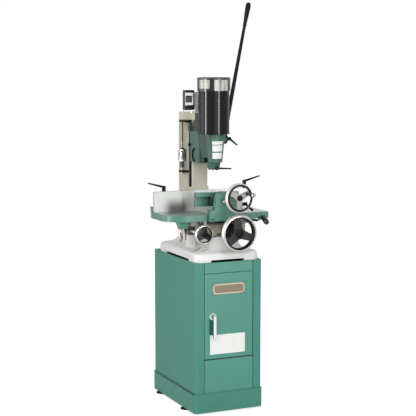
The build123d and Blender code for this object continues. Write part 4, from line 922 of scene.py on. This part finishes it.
CAP_SCREWS = grid((-36, 36), (94, 210), (1441,))
COLUMN_FOOT_SCREWS = grid((68,), (112, 212), (862,))
SWITCH_FOOT_SCREW = [(-28, 62, 1445)]
BRACKET_BOLTS = grid((-266, -214, 138, 190), (22,), (975,))
GIB_SCREWS = grid((-120, -40, 40, 120), (2,), (919,))
BACK_SCREWS = grid((-166, 166), (BACK_Y,), (150, 290, 430, 570, 700))
PLINTH_SCREW_Y, PLINTH_SCREW_Z = (-200, 0, 200), (62,)
LEVER_HUB_SCREW = [(126, 41, 1310)]
COVER_SCREW_ANGLES, COVER_SCREW_Z = (80, 150, -150), 1558
FLOOR_FEET = grid((-161, 161), (-133, 184), (0.2,))
COLUMN_PLUG = [(-49, 183, 1115)]


def fasteners(name, kind, places, axis, size, body, material=steel):
    """One piece made of equal fasteners at several places, with (radius, height) as the size."""

    def build(bm):
        for base in places:
            kind(bm, base, axis, *size)

    piece(name, build, material, body)


fasteners("column_cap_screws", cap_screw, CAP_SCREWS, UP, (6.5, 7), "stand")
fasteners("column_foot_screws", cap_screw, COLUMN_FOOT_SCREWS, UP, (7, 9), "stand")
fasteners("switch_foot_screw", cap_screw, SWITCH_FOOT_SCREW, UP, (5, 5), "stand")
fasteners("fence_bracket_bolts", hex_head, BRACKET_BOLTS, UP, (7, 8), "fence")
fasteners("gib_screws", set_screw, GIB_SCREWS, REAR, (5, 10), "table")
fasteners("back_panel_screws", pan_head, BACK_SCREWS, REAR, (4.5, 2.6), "stand")
for side, x, way in (("left", -PLINTH_X, LEFT), ("right", PLINTH_X, RIGHT)):
    places = grid((x,), PLINTH_SCREW_Y, PLINTH_SCREW_Z)
    name = f"plinth_screws_{side}"
    fasteners(name, pan_head, places, way, (4.5, 2.4), "stand", plinth_green)
fasteners("lever_hub_screw", cap_screw, LEVER_HUB_SCREW, RIGHT, (8, 6), "feed")
for number, degrees in enumerate(COVER_SCREW_ANGLES, 1):
    a = radians(degrees)
    way = (sin(a), -cos(a), 0)
    spot = (COVER_R * sin(a), SPINDLE_Y - COVER_R * cos(a), COVER_SCREW_Z)
    fasteners(f"cover_screw_{number}", pan_head, [spot], way, (3.6, 2.4), "head", dark_steel)
fasteners("foot_flanges", foot_flange, FLOOR_FEET, UP, (36, 6), "stand", rubber)
fasteners("column_plug", pan_head, COLUMN_PLUG, LEFT, (7, 2.4), "stand", column_finish)


# Trim

LONG_RIDGE = (
    (-162, -183, 779),
    (-150, -175, 781.9),
    (-130, -161.6, 783.9),
    (-108, -144, 786.7),
    (-87, -126, 792.4),
)
SHORT_RIDGE = (
    (-128, -208, 783.4),
    (-110, -197, 785.5),
    (-96, -188.4, 788.4),
    (-82, -192, 791.2),
    (-69, -203, 791.2),
)
KNOB_FOOT = (-50, 82, 1282)
KNOB_PROFILE = ((0, 0), (4, 0), (4, 3), (8, 4), (8.5, 11), (7, 13), (0, 13))


def base_ridges(bm):
    """Two low ridges where the flared foot meets the plate's front left corner, painted dark as creases
    in shade.
    """
    add_ridge(bm, LONG_RIDGE, half=6, height=2.2)
    add_ridge(bm, SHORT_RIDGE, half=4, height=1.8)


def head_knob(bm):
    """The small knob on the head's rear left edge."""
    add_turned(bm, KNOB_FOOT, LEFT, KNOB_PROFILE)


def collar_clip(bm):
    """The wire clip bent over the stop collar, in front of the rod."""
    turn = radians(24)
    normal = Vector((sin(turn), cos(turn), 0))
    side = Vector((cos(turn), -sin(turn), 0))
    half, rise_z, leg = 15.8, Vector((0, 0, 15)), Vector((0, 0, 47))
    shoulder_z, reach, wire_r, steps = 1246, 9, 2.4, 12
    centre = Vector((DEPTH_ROD_X, DEPTH_ROD_Y, shoulder_z)) - normal * reach
    bend = [pi * (1 - i / steps) for i in range(steps + 1)]
    arch = [centre + side * half * cos(a) + rise_z * sin(a) for a in bend]
    add_wire(bm, [arch[0] - leg] + arch + [arch[-1] - leg], normal, wire_r)


def hub_cap(axis, y, r):
    """The low domed cap on a wheel's hub."""
    x, _, z = axis
    dome = [(0, 0), (r, 0), (r, 2), (0.9 * r, 3.5), (0.5 * r, 5), (0, 5.4)]
    return lambda bm: add_turned(bm, (x, y, z), FRONT, dome, 32)


piece("base_ridges", base_ridges, ridge_shade, "stand")
piece("head_knob", head_knob, knob_black, "head")
piece("collar_clip", collar_clip, black, "depth_stop")
piece("long_wheel_cap", hub_cap(LONG_AXIS, y=-336, r=21), black, "long_feed")
piece("cross_wheel_cap", hub_cap(CROSS_AXIS, y=-213.2, r=11), black, "cross_feed")
piece("vise_wheel_cap", hub_cap(VISE_AXIS, y=-333.2, r=14), black, "vise_drive")


# Floor, light and camera

FLOOR_HALF, FLOOR_T = 9000, 20
FLOOR_LIFT = 0.65
WORLD_LEVEL = 0.38
NEUTRAL, WARM = (1, 1, 1), (1.0, 0.97, 0.86)
# Boxes that light the machine and are not reflected: name, place, target, size, watts, colour
SOFT_BOXES = (
    ("left_fill", (-3.4, -2.2, 2.3), (0, 0, 0.95), (1.6, 1.8), 42, WARM),
    ("front_box", (-0.9, -3.3, 2.4), (0, -0.1, 0.9), (2.2, 1.8), 58, NEUTRAL),
    ("right_rear_fill", (2.8, 2.0, 2.2), (0, 0, 0.95), (1.6, 1.8), 30, NEUTRAL),
)
# Strips that are seen only as reflections: name, place, width, watts
STRIP_TARGET, STRIP_HEIGHT = (0, 0, 1.3), 2.8
STRIPS = (
    ("left_strip", (-3.0, -0.35, 1.6), 0.40, 165),
    ("right_strip", (0.95, -3.9, 1.7), 0.40, 165),
    ("left_rear_band", (-2.9, 1.4, 1.6), 1.6, 50),
    ("front_band", (-0.43, -3.97, 1.6), 1.7, 28),
)
CAMERA_PLACE = (-2.423, -5.403, 1.667)
YAW, TILT = radians(24.23), radians(6.72)
SENSOR_WIDTH, LENS = 36.0, 103.67


def seen_mask(tree):
    """1 for the rays by which the camera, metal and glass see the background."""
    path = add(tree, "ShaderNodeLightPath")
    glossy = union(tree, path.outputs["Is Glossy Ray"], path.outputs["Is Transmission Ray"])
    return union(tree, path.outputs["Is Camera Ray"], glossy)


def floor_white():
    """A pale floor that is seen as white where it is lit and still takes the shadow."""
    mat, tree, bsdf = new_material("floor_white", (0.93, 0.93, 0.93), 0.95, specular=0.0)
    bsdf.inputs["Emission Color"].default_value = (1, 1, 1, 1)
    lift = product(tree, seen_mask(tree), FLOOR_LIFT)
    tree.links.new(lift, bsdf.inputs["Emission Strength"])
    return mat


def floor_slab(bm):
    add_block(bm, (-FLOOR_HALF, -FLOOR_HALF, -FLOOR_T), (FLOOR_HALF, FLOOR_HALF, 0))


def aim(obj, direction):
    """Turn a lamp or camera to look along a direction."""
    obj.rotation_euler = direction.to_track_quat("-Z", "Y").to_euler()


def area_light(name, place_at, target, size, power):
    """A soft box that looks at a point."""
    data = bpy.data.lights.new(name, "AREA")
    data.shape = "RECTANGLE"
    data.size, data.size_y = size
    data.energy = power
    lamp = bpy.data.objects.new(name, data)
    bpy.context.scene.collection.objects.link(lamp)
    lamp.location = place_at
    lamp.visible_camera = False
    aim(lamp, Vector(target) - Vector(place_at))
    return lamp


floor = piece("studio_floor", floor_slab, floor_white(), None)

world = bpy.data.worlds.new("studio")
bpy.context.scene.world = world
world.use_nodes = True
sky = world.node_tree
background = sky.nodes["Background"]
background.inputs["Color"].default_value = (1, 1, 1, 1)
sky.links.new(map_range(sky, seen_mask(sky), 0, 1, WORLD_LEVEL, 1.0), background.inputs["Strength"])

for name, spot, target, size, power, colour in SOFT_BOXES:
    box = area_light(name, spot, target, size, power)
    box.data.color = colour
    box.visible_glossy = False
for name, spot, width, power in STRIPS:
    strip = area_light(name, spot, STRIP_TARGET, (width, STRIP_HEIGHT), power)
    strip.visible_diffuse = False

camera_data = bpy.data.cameras.new("camera")
camera_data.sensor_width = SENSOR_WIDTH
camera_data.lens = LENS
camera = bpy.data.objects.new("camera", camera_data)
bpy.context.scene.collection.objects.link(camera)
camera.location = CAMERA_PLACE
aim(camera, Vector((sin(YAW) * cos(TILT), cos(YAW) * cos(TILT), -sin(TILT))))
bpy.context.scene.camera = camera
bpy.context.scene.view_settings.view_transform = "Standard"
